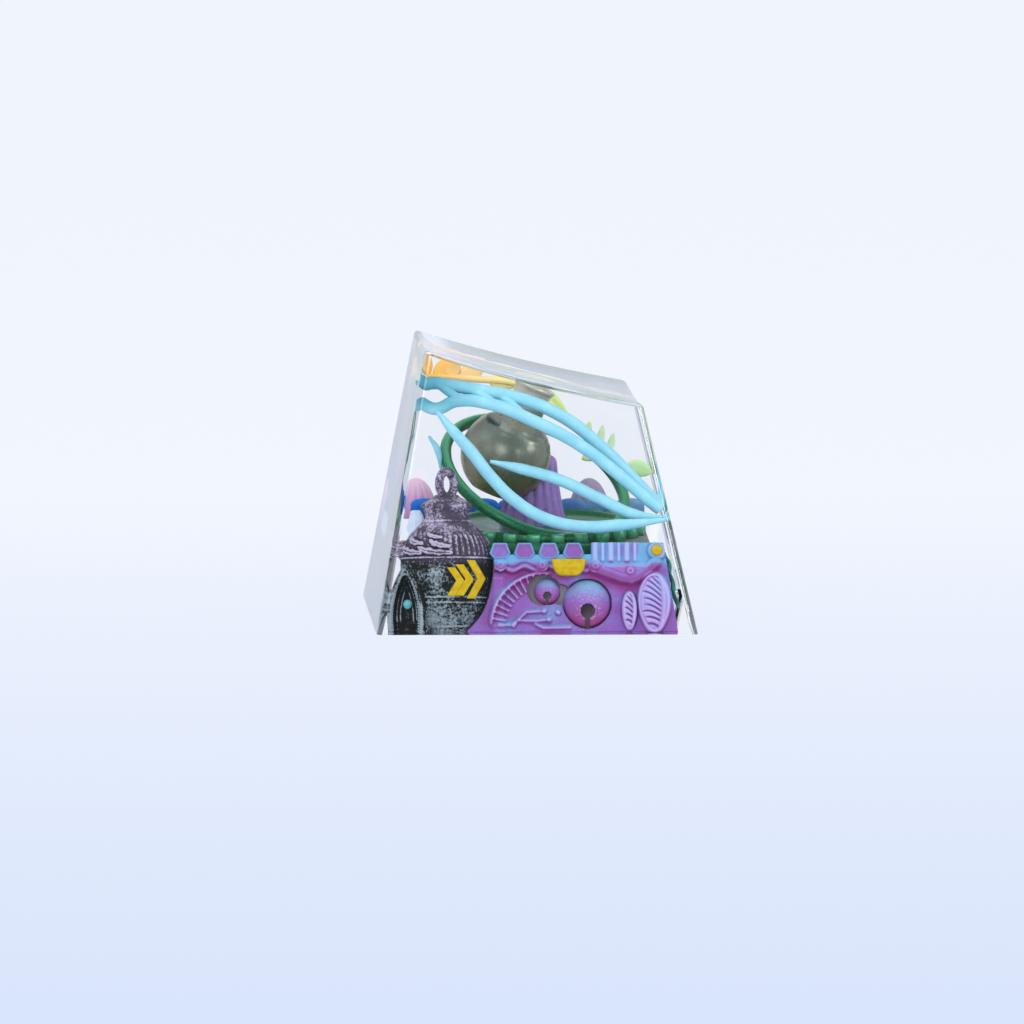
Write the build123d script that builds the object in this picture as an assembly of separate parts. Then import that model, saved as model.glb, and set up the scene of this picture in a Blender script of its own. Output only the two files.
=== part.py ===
from build123d import *
import os
from math import cos, radians, sin, sqrt, tan

# A clear cast keycap with a painted miniature scene inside, in millimetres.
# +X is the low edge near the typist, -X the tall back edge, -Y the side that shows the scene best.

# Cast block
base_width = 18.4
back_height = 16.1
front_height = 13.0
back_draft = 10.0
front_draft = 13.4
side_draft = 10.1
dish_radius = 90.0
dish_depth = 0.5
corner_radius = 0.4
rim_radius = 0.25
skin = 0.3  # least resin over the scene
floor_skin = 0.12  # resin under the scene, beside the base

# Stem base that the switch plugs into
relief_depth = 1.6  # resin between the foot of the base and the outside of the block
base_draft = 11.8
base_wall = 0.5
cavity_depth = 4.25
roof_thickness = 0.4
post_diameter = 5.5
post_recess = 0.3
socket_length = 4.1
socket_width_x = 1.2
socket_width_y = 1.35
socket_depth = 3.7

# Lidded jar at the back corner, half sunk in the base
jar_inset = 2.5  # jar axis from the edge of the base
jar_sink = 0.25
jar_flatten = 0.62
foot_radius = 1.1
flare_radius = 1.85
flare_height = 0.7
bowl_radius = 2.42
bowl_height = 1.9
belly_radius = 2.66
belly_height = 3.85
shoulder_radius = 2.6
shoulder_height = 4.65
slope_radius = 2.25
slope_height = 5.4
neck_radius = 1.2
neck_height = 6.5
lid_radius = 1.55
lid_height = 7.15
lid_edge = 0.2
crown_radius = 0.5
crown_height = 7.8
loop_radius = 0.58
loop_wire = 0.27
loop_turn = 42.0

# Pointed niche on the jar's back flank
niche_offset = 2.45  # niche centre from the jar axis
niche_width = 2.3
niche_height = 3.9
niche_turn = 30.0
niche_front = 0.75
niche_thickness = 1.2
niche_rim = 0.3
niche_recess = 0.3
arch_flank = 0.47  # where each flank of the point passes, as shares of width and height
arch_spring = 0.45
gem_radius = 0.27
gem_depth = 0.2
gem_height = 1.5

# Carved wall along the near side of the base
wall_overlap = 0.5  # wall past the base's edge
wall_lean = 0.8  # how far the wall's free end slopes in
wall_thickness = 0.5
cornice_bottom = 3.45
cornice_top = 4.36
cornice_depth = 0.85
merlon_width = 1.15
merlon_height = 0.84
merlon_end = 0.7  # width at the foot and at the top
merlon_shoulder = 0.14  # widest place below the middle
merlon_depth = 0.75
merlon_rise = 0.18  # merlon middle above the cornice
merlon_first = 3.0  # first merlon from the jar axis
merlon_pitch = 1.4
merlon_count = 4
boss_radius = 0.36
boss_depth = 1.1
boss_first = 3.05
boss_pitch = 2.6
boss_count = 4
boss_height = 3.78
parapet_start = 8.2
parapet_length = 2.75
parapet_bottom = 3.8
parapet_top = 5.0
parapet_depth = 0.7
flute_count = 6
flute_width = 0.22
flute_depth = 0.95
arch_centre = 5.6  # quarter arch, from the jar axis
arch_radius = 3.15
arch_band = 0.3
arch_depth = 0.75
arch_rib_count = 9
arch_rib_length = 0.75
arch_rib_width = 0.1
fan_inset = 0.85  # large fan's axis from the base's edge
fan_width = 2.1
fan_height = 3.3
fan_depth = 0.95
fan_rib_count = 9
fan_rib_width = 0.12
fan_rib_depth = 0.16
fan_spread = 60.0
fan_small_gap = 1.45  # small fan's axis from the large one's
fan_small_width = 0.95
fan_small_height = 2.1

# Bells set in round pockets of the wall
small_bell_radius = 0.78
small_bell_height = 2.24
large_bell_radius = 1.4
large_bell_across = 7.99
large_bell_height = 1.55
bell_spacing = 2.29
bell_sink = 0.15
bell_gap = 0.08
slot_share = 0.3  # keyhole radius and slit width as shares of the bell's radius
slit_share = 0.18

# Yellow cup and stud
cup_across = 6.93
cup_width = 1.9
cup_foot = 0.55  # half width of the flat foot
cup_bulge = 0.15
cup_top = 4.05
cup_drop = 0.95
cup_depth = 1.2
stud_inset = 0.73
stud_height = 4.55
stud_radius = 0.31
stud_depth = 1.05

# Toothed plate on the deck and the hoop that rises from it
gear_margin = 1.03  # plate from the deck's edge
gear_thickness = 0.65
tooth_count = 26
tooth_length = 0.4
tooth_width = 0.9
gear_shift = 0.6
hoop_margin = 1.15
hoop_wire = 0.31
hoop_rise = 3.2
hoop_shift = 0.2
hoop_setback = 0.4
hoop_pitch = 27.4
hoop_roll = 18.3
rail_start = 2.3  # rail along the near edge of the deck, from the jar axis
rail_length = 5.9
rail_drop = 0.6
rail_rise = 0.2
rail_overhang = 0.45

# Round pot with a pleated stand behind it
pot_radius = 2.6
pot_foot_radius = 1.1
pot_neck_radius = 1.1
pot_neck_length = 1.95
pot_lip = 0.15
pot_rise = 4.5
pot_shift = 1.5
pot_tilt = 23.0
lug_radius = 0.42
lug_turn = 220.0
lug_lean = 50.0
drape_radius = 2.0
drape_pleat = 0.15  # depth of the folds as a share of the radius
drape_pleats = 16
drape_height = 3.8
drape_top_radius = 1.4
drape_shift = 0.1
drape_setback = 1.1

# Tendrils and the leaf garland
tendril_radius = 0.36
twig_radius = 0.2
tip_length = 0.9  # free ends
tip_radius = 0.1
stem_radius = 0.2
bridge_radius = 0.26
leaf_thickness = 0.3
tendril_names = ("upper_tendril", "middle_tendril", "lower_tendril", "side_tendril", "twig")
# Routes as shares of the block: back to front, near to far, deck to top
upper_route = (
    (0.0, -0.69, 0.79), (0.07, -0.68, 0.82), (0.28, -0.68, 0.84), (0.44, -0.66, 0.84), (0.64, -0.62, 0.78),
    (0.79, -0.57, 0.62), (0.92, -0.51, 0.38), (1.02, -0.47, 0.17),
)
middle_route = (
    (0.0, -0.73, 0.72), (0.1, -0.72, 0.7), (0.18, -0.74, 0.76), (0.34, -0.75, 0.78), (0.51, -0.73, 0.73),
    (0.71, -0.69, 0.62), (0.85, -0.64, 0.45), (1.02, -0.58, 0.15),
)
lower_route = (
    (0.1, -0.82, 0.69), (0.26, -0.8, 0.52), (0.34, -0.78, 0.39), (0.44, -0.77, 0.26), (0.54, -0.77, 0.17),
    (0.67, -0.76, 0.13), (0.81, -0.76, 0.14), (1.02, -0.77, 0.2),
)
side_route = (
    (0.34, -0.71, 0.46), (0.46, -0.7, 0.44), (0.61, -0.69, 0.39), (0.76, -0.68, 0.3), (0.87, -0.68, 0.2),
    (1.02, -0.68, 0.19),
)
# Twig: degrees round the hoop, distance outside it and height over it
twig_route = ((182, 1.32, 0.97), (185, 0.7, 0.5), (190, 0.42, -0.3))
bridge_routes = (
    ((0.12, -0.7, 0.82), (0.2, -0.72, 0.78)),
    ((0.25, -0.69, 0.83), (0.35, -0.73, 0.79)),
    ((0.39, -0.68, 0.83), (0.46, -0.71, 0.77)),
)
garland_route = (
    (0.07, 0.44, 0.77), (0.27, 0.44, 0.8), (0.51, 0.43, 0.82), (0.66, 0.42, 0.7), (0.77, 0.4, 0.55),
    (0.84, 0.39, 0.46), (0.9, 0.39, 0.4),
)
# Leaves: share along the garland, heading in the upright plane, length, width
garland_leaves = (
    (0.01, 92, 1.4, 0.55), (0.015, 268, 0.9, 0.5), (0.03, 30, 1.9, 1.1), (0.1, 65, 1.1, 1.0),
    (0.15, 28, 1.6, 1.1), (0.27, -4, 1.9, 0.95), (0.45, -38, 2.3, 1.2), (0.78, 80, 0.95, 0.44),
    (0.85, 82, 1.35, 0.44), (0.9, 78, 1.25, 0.44), (0.87, 205, 1.4, 0.8), (0.99, -18, 1.6, 1.0),
)

# Pieces on the far side of the deck
wave_height = 1.25
wave_thickness = 0.7
wave_pitch = 1.7
wave_count = 8
wave_crest = 0.35
wave_inset = 1.3
shell_rib = 0.1  # depth of the ribs as a share of the radius
shell_ribs = 14
shell_sections = ((0.0, 1.2), (0.9, 1.1), (1.6, 0.8), (2.2, 0.35))  # height and radius
shell_overhang = 0.25
back_shell_inset = 0.2
far_shell_share = 0.55  # far shell's place as a share of the deck's half width
stone_radius = 0.6
stone_height = 1.1
stone_drop = 0.5
stone_taper = 14.0
stone_turn = 25.0
stone_count = 4
stone_last = 1.6  # last stone from the deck's far edge
stone_pitch = 1.15
stone_inset = 0.15
frond_length = 3.4
frond_width = 0.8
frond_thickness = 0.25
frond_gap = 0.85
frond_inset = 1.7
frond_height = 1.0

half = base_width / 2
back_slope = tan(radians(back_draft))
front_slope = tan(radians(front_draft))
side_slope = tan(radians(side_draft))
back_top_x = -half + back_height * back_slope
front_top_x = half - front_height * front_slope
base_half = half - relief_depth
deck = cavity_depth + roof_thickness
deck_half = base_half - deck * tan(radians(base_draft))
jar_x = -base_half + jar_inset
small_bell_across = large_bell_across - bell_spacing
gear_radius = deck_half - gear_margin
hoop_radius = deck_half - hoop_margin
shell_places = (-deck_half + back_shell_inset, far_shell_share * deck_half)
tendril_routes = (
    (upper_route, tendril_radius, 0),
    (middle_route, tendril_radius, 0),
    (lower_route, tendril_radius, tip_length),
    (side_route, tendril_radius, tip_length),
)
hoop_place = Pos(hoop_shift, -hoop_setback, deck + hoop_rise) * Rot(hoop_pitch, hoop_roll, 0)
near_face = Plane(
    origin=(0, -base_half, 0),
    x_dir=(1, 0, 0),
    z_dir=(0, -cos(radians(base_draft)), sin(radians(base_draft))),
)


def block_form(inset, bottom):
    """The cap's outside moved in by inset: four drafted sides under a dished, sloping top."""
    back = half - inset / cos(radians(back_draft))
    front = half - inset / cos(radians(front_draft))
    side = half - inset / cos(radians(side_draft))
    tall = back_height + 2 * dish_depth
    side_view = Polyline(
        (-back + bottom * back_slope, bottom),
        (front - bottom * front_slope, bottom),
        (front - tall * front_slope, tall),
        (-back + tall * back_slope, tall),
        close=True,
    )
    end_view = Polyline(
        (-side + bottom * side_slope, bottom),
        (side - bottom * side_slope, bottom),
        (side - tall * side_slope, tall),
        (-side + tall * side_slope, tall),
        close=True,
    )
    form = extrude(Plane.XZ * make_face(side_view), amount=half, both=True)
    form &= extrude(Plane.YZ * make_face(end_view), amount=half, both=True)
    run = front_top_x - back_top_x
    fall = back_height - front_height
    normal = Vector(fall, 0, run).normalized()
    middle = Vector((back_top_x + front_top_x) / 2, 0, (back_height + front_height) / 2)
    centre = middle + normal * (dish_radius - dish_depth)
    return form - Pos(centre) * Sphere(dish_radius + inset)


def outer_block():
    form = block_form(0, 0)
    uprights = form.edges().filter_by(lambda edge: edge.bounding_box().size.Z > front_height / 2)
    form = fillet(uprights, corner_radius)
    rim = form.faces().filter_by(GeomType.SPHERE)[0].edges()
    return fillet(rim, rim_radius)


def base_core():
    """The base without its hollow, as the other pieces meet it."""
    foot = Rectangle(2 * base_half, 2 * base_half)
    return extrude(foot, amount=deck, taper=base_draft)


def stem_base():
    mouth_half = base_half - base_wall / cos(radians(base_draft))
    mouth = Rectangle(2 * mouth_half, 2 * mouth_half)
    body = core - extrude(mouth, amount=cavity_depth, taper=base_draft)
    post_length = cavity_depth - post_recess
    post = Cylinder(post_diameter / 2, post_length, align=(Align.CENTER, Align.CENTER, Align.MIN))
    slots = Rectangle(socket_length, socket_width_y) + Rectangle(socket_width_x, socket_length)
    post -= extrude(slots, amount=socket_depth)
    return body + Pos(0, 0, post_recess) * post


def seat(piece, *others):
    """A piece kept inside the resin's skin and cut where another piece already stands."""
    piece = piece & room
    for other in others:
        piece = piece - other
    return piece


def on_near_face(across, up, out=0.0):
    return near_face.location * Pos(across, up, out)


def raised(outline, depth):
    """A flat outline on the base's near face, raised outwards."""
    return near_face.location * extrude(outline, amount=depth)


def spot(across, depth, rise):
    """A place above the deck: back to front 0 to 1, near to far -1 to 1, deck to top 0 to 1."""
    fall = (back_height - front_height) / (front_top_x - back_top_x)
    start = (2 * across - 1) * deck_half
    top = back_height - fall * (start - back_top_x)
    z = deck + rise * (top - deck)
    back = -half + z * back_slope
    front = half - z * front_slope
    return Vector(back + across * (front - back), depth * (half - z * side_slope), z)


def jar_half():
    """Half of the jar's outline, lid and all."""
    profile = Polyline(
        (0, floor_skin),
        (foot_radius, floor_skin),
        (flare_radius, flare_height),
        (bowl_radius, bowl_height),
        (belly_radius, belly_height),
        (shoulder_radius, shoulder_height),
        (slope_radius, slope_height),
        (neck_radius, neck_height),
        (lid_radius, lid_height),
        (lid_radius - lid_edge / 2, lid_height + lid_edge),
        (crown_radius, crown_height),
        (0, crown_height),
        close=True,
    )
    return make_face(profile)


def pewter_jar():
    """Turned jar, flattened front to back, with a lid and a hanging loop."""
    turned = revolve(jar_half(), Axis.Y)
    body = scale(turned, by=(1, 1, jar_flatten))
    ring = Circle(loop_radius + loop_wire) - Circle(loop_radius - loop_wire)
    loop = extrude(ring, amount=loop_wire, both=True)
    loop = Pos(0, crown_height + loop_radius, 0) * Rot(0, loop_turn, 0) * loop
    return on_near_face(jar_x, 0, -jar_sink) * (body + loop)


def jar_front():
    """The space in front of the jar, which the wall leaves open."""
    return on_near_face(jar_x, 0, -jar_sink) * extrude(jar_half(), amount=belly_radius)


def pointed_arch(width, height, foot):
    """Two arcs that meet in a point above a straight foot."""
    with BuildLine() as outline:
        flank = (width * arch_flank, foot + (height - foot) * arch_spring)
        Line((-width / 2, foot), (width / 2, foot))
        ThreePointArc((width / 2, foot), flank, (0, height))
        ThreePointArc((0, height), (-flank[0], flank[1]), (-width / 2, foot))
    return make_face(outline.line)


def arch_niche():
    panel = extrude(pointed_arch(niche_width, niche_height, floor_skin), amount=niche_thickness)
    inner = pointed_arch(niche_width - 2 * niche_rim, niche_height - 2 * niche_rim, floor_skin + niche_rim)
    hollow = extrude(inner, amount=niche_recess)
    panel -= Pos(0, 0, niche_thickness - niche_recess) * hollow
    gem = Cylinder(gem_radius, gem_depth, align=(Align.CENTER, Align.CENTER, Align.MIN))
    panel += Pos(0, gem_height, niche_thickness - niche_recess) * gem
    place = on_near_face(jar_x - niche_offset, 0, niche_front)
    return place * Rot(0, -niche_turn, 0) * Pos(0, 0, -niche_thickness) * panel


def bell(across, height, radius):
    """Ball with a keyhole slot through to the base."""
    ball = Pos(0, 0, -bell_sink) * Sphere(radius)
    hole = slot_share * radius
    key = Pos(0, -radius / 3) * Circle(hole)
    key += Pos(0, -radius / 3) * Rectangle(slit_share * radius, radius, align=(Align.CENTER, Align.MAX))
    ball -= Pos(0, 0, -radius) * extrude(key, amount=3 * radius)
    return on_near_face(jar_x + across, height) * ball


def merlon():
    wide = merlon_width / 2
    tall = merlon_height / 2
    end = merlon_end / 2
    outline = Polyline(
        (-end, -tall), (end, -tall), (wide, -merlon_shoulder),
        (end, tall), (-end, tall), (-wide, -merlon_shoulder),
        close=True,
    )
    return extrude(make_face(outline), amount=merlon_depth)


def fan(width, height, rib_count):
    """Half-oval shell with ribs that spread from its foot."""
    oval = Ellipse(width / 2, height) & Pos(0, height) * Rectangle(2 * width, 2 * height)
    plate = extrude(oval, amount=fan_depth)
    for index in range(rib_count):
        lean = fan_spread * (2 * index / (rib_count - 1) - 1)
        bar = Rot(0, 0, lean) * Pos(0, height / 2) * Rectangle(fan_rib_width, height)
        plate += extrude(bar & oval, amount=fan_depth + fan_rib_depth)
    return plate


def carved_wall():
    left = jar_x + foot_radius
    right = base_half + wall_overlap
    parapet_x = jar_x + parapet_start
    panel = Polyline(
        (left, floor_skin), (right, floor_skin), (right - wall_lean, parapet_top), (parapet_x, parapet_top),
        (parapet_x, cornice_top), (left, cornice_top), close=True,
    )
    wall = raised(make_face(panel), wall_thickness)
    cornice = Polyline(
        (left, cornice_bottom), (parapet_x, cornice_bottom),
        (parapet_x, cornice_top), (left, cornice_top), close=True,
    )
    wall += raised(make_face(cornice), cornice_depth)
    for index in range(merlon_count):
        across = jar_x + merlon_first + index * merlon_pitch
        wall += on_near_face(across, cornice_top + merlon_rise) * merlon()
    for index in range(boss_count):
        across = jar_x + boss_first + index * boss_pitch
        wall += on_near_face(across, boss_height) * extrude(Circle(boss_radius), amount=boss_depth)
    parapet_middle = (parapet_bottom + parapet_top) / 2
    parapet_height = parapet_top - parapet_bottom
    parapet = Rectangle(parapet_length, parapet_height)
    parapet_place = on_near_face(parapet_x + parapet_length / 2, parapet_middle)
    wall += parapet_place * extrude(parapet, amount=parapet_depth)
    for index in range(flute_count):
        across = parapet_x + parapet_length * (index + 0.5) / flute_count
        flute = extrude(Rectangle(flute_width, parapet_height), amount=flute_depth)
        wall += on_near_face(across, parapet_middle) * flute
    wall += quarter_arch()
    fan_x = base_half - fan_inset
    wall += on_near_face(fan_x, floor_skin) * fan(fan_width, fan_height, fan_rib_count)
    small = fan(fan_small_width, fan_small_height, fan_rib_count - 4)
    wall += on_near_face(fan_x - fan_small_gap, floor_skin) * small
    wall -= bell_pocket(small_bell_across, small_bell_height, small_bell_radius)
    return wall - bell_pocket(large_bell_across, large_bell_height, large_bell_radius)


def bell_pocket(across, height, radius):
    return on_near_face(jar_x + across, height) * Cylinder(radius + bell_gap, 4 * fan_depth)


def quarter_arch():
    """Arched band that springs from the jar's side, with short ribs on its inner edge."""
    centre_x = jar_x + arch_centre
    ring = Circle(arch_radius) - Circle(arch_radius - arch_band)
    inner = arch_radius - arch_band
    for index in range(arch_rib_count):
        turn = 100 + 75 * index / (arch_rib_count - 1)
        middle = inner - arch_rib_length / 2
        ring += Rot(0, 0, turn) * Pos(middle, 0) * Rectangle(arch_rib_length + arch_band, arch_rib_width)
    corner = Rectangle(2 * arch_radius, 2 * arch_radius, align=(Align.MAX, Align.MIN))
    return on_near_face(centre_x, floor_skin) * extrude(ring & corner, amount=arch_depth)


def yellow_inlays():
    """Half-moon cup under the cornice and a round stud near the free end."""
    rim = cup_width / 2
    flank_x = (rim + cup_foot) / 2 + cup_bulge
    flank_y = -cup_drop / 2 - cup_bulge
    with BuildLine() as outline:
        Line((-rim, 0), (rim, 0))
        ThreePointArc((rim, 0), (flank_x, flank_y), (cup_foot, -cup_drop))
        Line((cup_foot, -cup_drop), (-cup_foot, -cup_drop))
        ThreePointArc((-cup_foot, -cup_drop), (-flank_x, flank_y), (-rim, 0))
    cup = on_near_face(jar_x + cup_across, cup_top) * extrude(make_face(outline.line), amount=cup_depth)
    stud = extrude(Circle(stud_radius), amount=stud_depth)
    return cup + on_near_face(base_half - stud_inset, stud_height) * stud


def green_hoop():
    """Toothed plate on the deck with a rail on the deck's near edge and a tilted hoop growing out of it."""
    plate = Circle(gear_radius)
    reach = 2 * tooth_length
    plate += PolarLocations(gear_radius, tooth_count) * Rectangle(reach, tooth_width)
    plate = Pos(gear_shift, 0, deck) * extrude(plate, amount=gear_thickness)
    rail_depth = deck_half + rail_overhang - gear_radius + tooth_length
    rail = Box(rail_length, rail_depth, rail_drop + rail_rise, align=(Align.MIN, Align.MIN, Align.MIN))
    plate += Pos(jar_x + rail_start, -deck_half - rail_overhang, deck - rail_drop) * rail
    band = Circle(hoop_radius + hoop_wire) - Circle(hoop_radius - hoop_wire)
    return plate + hoop_place * extrude(band, amount=hoop_wire, both=True)


def bronze_pot():
    drop = sqrt(pot_radius ** 2 - pot_foot_radius ** 2)
    shoulder = sqrt(pot_radius ** 2 - pot_neck_radius ** 2)
    with BuildLine() as profile:
        Line((0, -drop), (pot_foot_radius, -drop))
        ThreePointArc((pot_foot_radius, -drop), (pot_radius, 0), (pot_neck_radius, shoulder))
        Line((pot_neck_radius, shoulder), (pot_neck_radius, shoulder + pot_neck_length))
        lip = (pot_neck_radius + pot_lip, shoulder + pot_neck_length + pot_lip)
        Line((pot_neck_radius, shoulder + pot_neck_length), lip)
        Polyline(lip, (0, lip[1]), (0, -drop))
    turned = revolve(Plane.XZ * make_face(profile.line), Axis.Z)
    lug = Rot(0, 0, lug_turn) * Rot(0, lug_lean, 0) * Pos(0, 0, pot_radius) * Sphere(lug_radius)
    return Pos(-pot_shift, 0, deck + pot_rise) * Rot(0, pot_tilt, 0) * (turned + lug)


def pleated(sections, depth, count):
    """Upright form of straight folds through the heights and radii given."""
    outlines = []
    for height, radius in sections:
        corners = []
        for index in range(2 * count):
            reach = radius * (1 - depth * (index % 2))
            corners.append(Vector(reach, 0, height).rotate(Axis.Z, 180 * index / count))
        outlines.append(make_face(Polyline(*corners, close=True)))
    return loft(outlines, ruled=True)


def purple_drape():
    """Pleated stand on the plate that narrows towards its top."""
    folds = pleated(((0, drape_radius), (drape_height, drape_top_radius)), drape_pleat, drape_pleats)
    return Pos(drape_shift, drape_setback, deck + gear_thickness) * folds


def beside_hoop(turn, out, lift):
    return (hoop_place * Rot(0, 0, turn) * Pos(hoop_radius + out, 0, lift)).position


def strand(route, radius, tip=0.0, place=spot):
    """Round strand along straight runs with mitred bends, with a blunt point at its start."""
    path = Polyline(*[place(*values) for values in route])
    start = Plane(origin=path @ 0, z_dir=path % 0)
    body = sweep(start * Circle(radius), path=path, transition=Transition.RIGHT)
    if tip:
        back = Plane(origin=path @ 0, z_dir=(path % 0) * -1)
        point = Cone(radius, tip_radius, tip, align=(Align.CENTER, Align.CENTER, Align.MIN))
        body += back.location * point
    return body


def leaf(length, width):
    """Flat leaf that starts at the origin and points along +X."""
    with BuildLine() as outline:
        ThreePointArc((0, 0), (length / 2, width / 2), (length, 0))
        ThreePointArc((length, 0), (length / 2, -width / 2), (0, 0))
    return extrude(make_face(outline.line), amount=leaf_thickness / 2, both=True)


def leaf_garland():
    """Stem behind the tendrils with a leaf at each of its places."""
    path = Polyline(*[spot(*place) for place in garland_route])
    garland = strand(garland_route, stem_radius)
    for share, heading, length, width in garland_leaves:
        upright = Plane(origin=path @ share, x_dir=(1, 0, 0), z_dir=(0, -1, 0))
        garland += upright.location * Rot(0, 0, heading) * leaf(length, width)
    return garland


def blue_wave():
    """Scalloped ridge along the far edge of the deck."""
    length = wave_pitch * wave_count
    low = wave_height - wave_crest
    with BuildLine() as outline:
        Polyline((-length / 2, low), (-length / 2, 0), (length / 2, 0), (length / 2, low))
        for index in range(wave_count):
            start = index * wave_pitch - length / 2
            ThreePointArc((start, low), (start + wave_pitch / 2, wave_height), (start + wave_pitch, low))
    body = extrude(Plane.XZ * make_face(outline.line), amount=wave_thickness / 2, both=True)
    return Pos(0, deck_half - wave_inset, deck) * body


def shell(across):
    """Ribbed shell past the wave."""
    return Pos(across, deck_half + shell_overhang, deck) * pleated(shell_sections, shell_rib, shell_ribs)


def white_stones():
    """Row of cut stones over the back edge of the deck."""
    row = []
    stone = extrude(RegularPolygon(stone_radius, 6), amount=stone_height, taper=stone_taper)
    across = -deck_half + stone_inset
    first = deck_half - stone_last - (stone_count - 1) * stone_pitch
    for index in range(stone_count):
        along = first + index * stone_pitch
        row.append(Pos(across, along, deck - stone_drop) * Rot(0, 0, stone_turn * index) * stone)
    return Part() + row


def teal_frond():
    """Leaf that hangs along the front side of the base."""
    lean = radians(base_draft)
    front_face = Plane(origin=(base_half, 0, 0), x_dir=(0, 1, 0), z_dir=(cos(lean), 0, sin(lean)))
    with BuildLine() as outline:
        ThreePointArc((0, 0), (frond_width / 2, frond_length * 0.55), (0, frond_length))
        ThreePointArc((0, frond_length), (-frond_width / 2, frond_length * 0.55), (0, 0))
    blade = extrude(make_face(outline.line), amount=frond_thickness)
    return front_face.location * Pos(-base_half + frond_inset, frond_height, frond_gap) * blade


core = base_core()
room = block_form(skin, floor_skin)

base = stem_base()
jar = seat(pewter_jar() + arch_niche(), core)
small_bell = seat(bell(small_bell_across, small_bell_height, small_bell_radius), core)
large_bell = seat(bell(large_bell_across, large_bell_height, large_bell_radius), core)
yellow = seat(yellow_inlays(), core)
wall = seat(carved_wall() - jar_front(), core, jar, small_bell, large_bell, yellow)
green = seat(green_hoop(), core, jar, wall)
pot = seat(bronze_pot(), green)
drape = seat(purple_drape(), pot, green)
settled = [jar, wall, green, pot, drape]
strands = []
for route, radius, tip in tendril_routes:
    body = strand(route, radius, tip)
    if route is upper_route:
        for bridge in bridge_routes:
            body += strand(bridge, bridge_radius)
    strands.append(seat(body, *settled, *strands))
strands.append(seat(strand(twig_route, twig_radius, place=beside_hoop), *settled, *strands))
garland = seat(leaf_garland(), *settled, *strands)
shells = [seat(shell(across), core, green) for across in shell_places]
wave = seat(blue_wave(), core, green, *shells)
stones = seat(white_stones(), core, green, jar, wave, *shells)
frond = seat(teal_frond(), core, wall)

nodes = {
    "stem_base": base,
    "pewter_jar": jar,
    "carved_wall": wall,
    "small_bell": small_bell,
    "large_bell": large_bell,
    "yellow_inlays": yellow,
    "green_hoop": green,
    "bronze_pot": pot,
    "purple_drape": drape,
    "leaf_garland": garland,
    "blue_wave": wave,
    "white_stones": stones,
    "teal_frond": frond,
}
for name, piece in zip(tendril_names, strands):
    nodes[name] = piece
for name, piece in zip(("back_shell", "far_shell"), shells):
    nodes[name] = piece

resin = outer_block() - core
for name, piece in nodes.items():
    if name != "stem_base":
        resin -= piece
nodes["resin_body"] = resin

os.makedirs("parts", exist_ok=True)
for name, piece in nodes.items():
    export_step(piece, f"parts/{name}.step")
    print(name, len(piece.solids()), round(piece.volume, 3))
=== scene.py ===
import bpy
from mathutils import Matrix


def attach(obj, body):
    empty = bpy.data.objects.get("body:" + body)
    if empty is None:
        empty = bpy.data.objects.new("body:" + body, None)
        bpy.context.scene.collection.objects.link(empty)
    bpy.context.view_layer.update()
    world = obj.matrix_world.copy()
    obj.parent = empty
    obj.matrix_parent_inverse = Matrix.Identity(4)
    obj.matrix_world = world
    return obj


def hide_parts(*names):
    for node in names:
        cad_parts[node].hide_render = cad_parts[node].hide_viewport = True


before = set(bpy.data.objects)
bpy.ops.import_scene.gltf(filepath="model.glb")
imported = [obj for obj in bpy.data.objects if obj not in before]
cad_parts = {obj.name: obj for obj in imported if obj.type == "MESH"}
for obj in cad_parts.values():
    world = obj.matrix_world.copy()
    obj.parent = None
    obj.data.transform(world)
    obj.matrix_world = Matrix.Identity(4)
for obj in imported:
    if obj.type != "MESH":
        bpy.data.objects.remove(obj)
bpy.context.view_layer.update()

import math

import bmesh
import bpy
import numpy as np
from mathutils import Matrix, Vector

mm = 0.001
scene = bpy.context.scene
scene.view_settings.view_transform = "Standard"
print("frame loaded:", len(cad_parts), "nodes")


def slopeOf(degrees):
    return math.tan(math.radians(degrees))


# sizes that several pieces share, in millimetres
cap = {
    "half": 9.2, "backHeight": 16.1, "frontHeight": 13.0,
    "backDraft": 10.0, "frontDraft": 13.4, "sideDraft": 10.1,
    "dishRadius": 90.0, "dishDepth": 0.5, "cornerRadius": 0.4, "rimRadius": 0.25,
}
stem = {"half": 7.6, "draft": 11.8, "deck": 4.65}
stem["deckHalf"] = stem["half"] - stem["deck"] * slopeOf(stem["draft"])
leanSin = math.sin(math.radians(stem["draft"]))
leanCos = math.cos(math.radians(stem["draft"]))


def onNearFace(x, up, out):
    # a spot on the leaning near side of the base: across, up the slope, outwards; feet stand level
    level = np.clip(np.asarray(up) / 0.5, 0.0, 1.0)
    return (x, -stem["half"] + leanSin * up - leanCos * out, leanCos * up + leanSin * out * level)


def smoothStep(low, high, value):
    share = np.clip((value - low) / (high - low), 0.0, 1.0)
    return share * share * (3.0 - 2.0 * share)


def circleSpots(count, radius=1.0, x=0.0, y=0.0):
    turns = [2 * math.pi * step / count for step in range(count)]
    return [(x + radius * math.cos(turn), y + radius * math.sin(turn)) for turn in turns]


# nodes, for shaders and for geometry

def addNode(tree, kind, settings=None, inputs=None):
    node = tree.nodes.new(kind)
    for key, value in (settings or {}).items():
        setattr(node, key, value)
    for key, value in (inputs or {}).items():
        if isinstance(value, bpy.types.NodeSocket):
            tree.links.new(value, node.inputs[key])
        else:
            node.inputs[key].default_value = value
    return node


def calc(tree, operation, first, second=0.0, clamp=False):
    settings = {"operation": operation, "use_clamp": clamp}
    return addNode(tree, "ShaderNodeMath", settings, {0: first, 1: second}).outputs[0]


def times(tree, value, gain):
    return calc(tree, "MULTIPLY", value, gain)


def past(tree, value, start, gain):
    # how far a value lies past a start, times a gain, kept between 0 and 1
    return calc(tree, "MULTIPLY", calc(tree, "SUBTRACT", value, start), gain, clamp=True)


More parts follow.
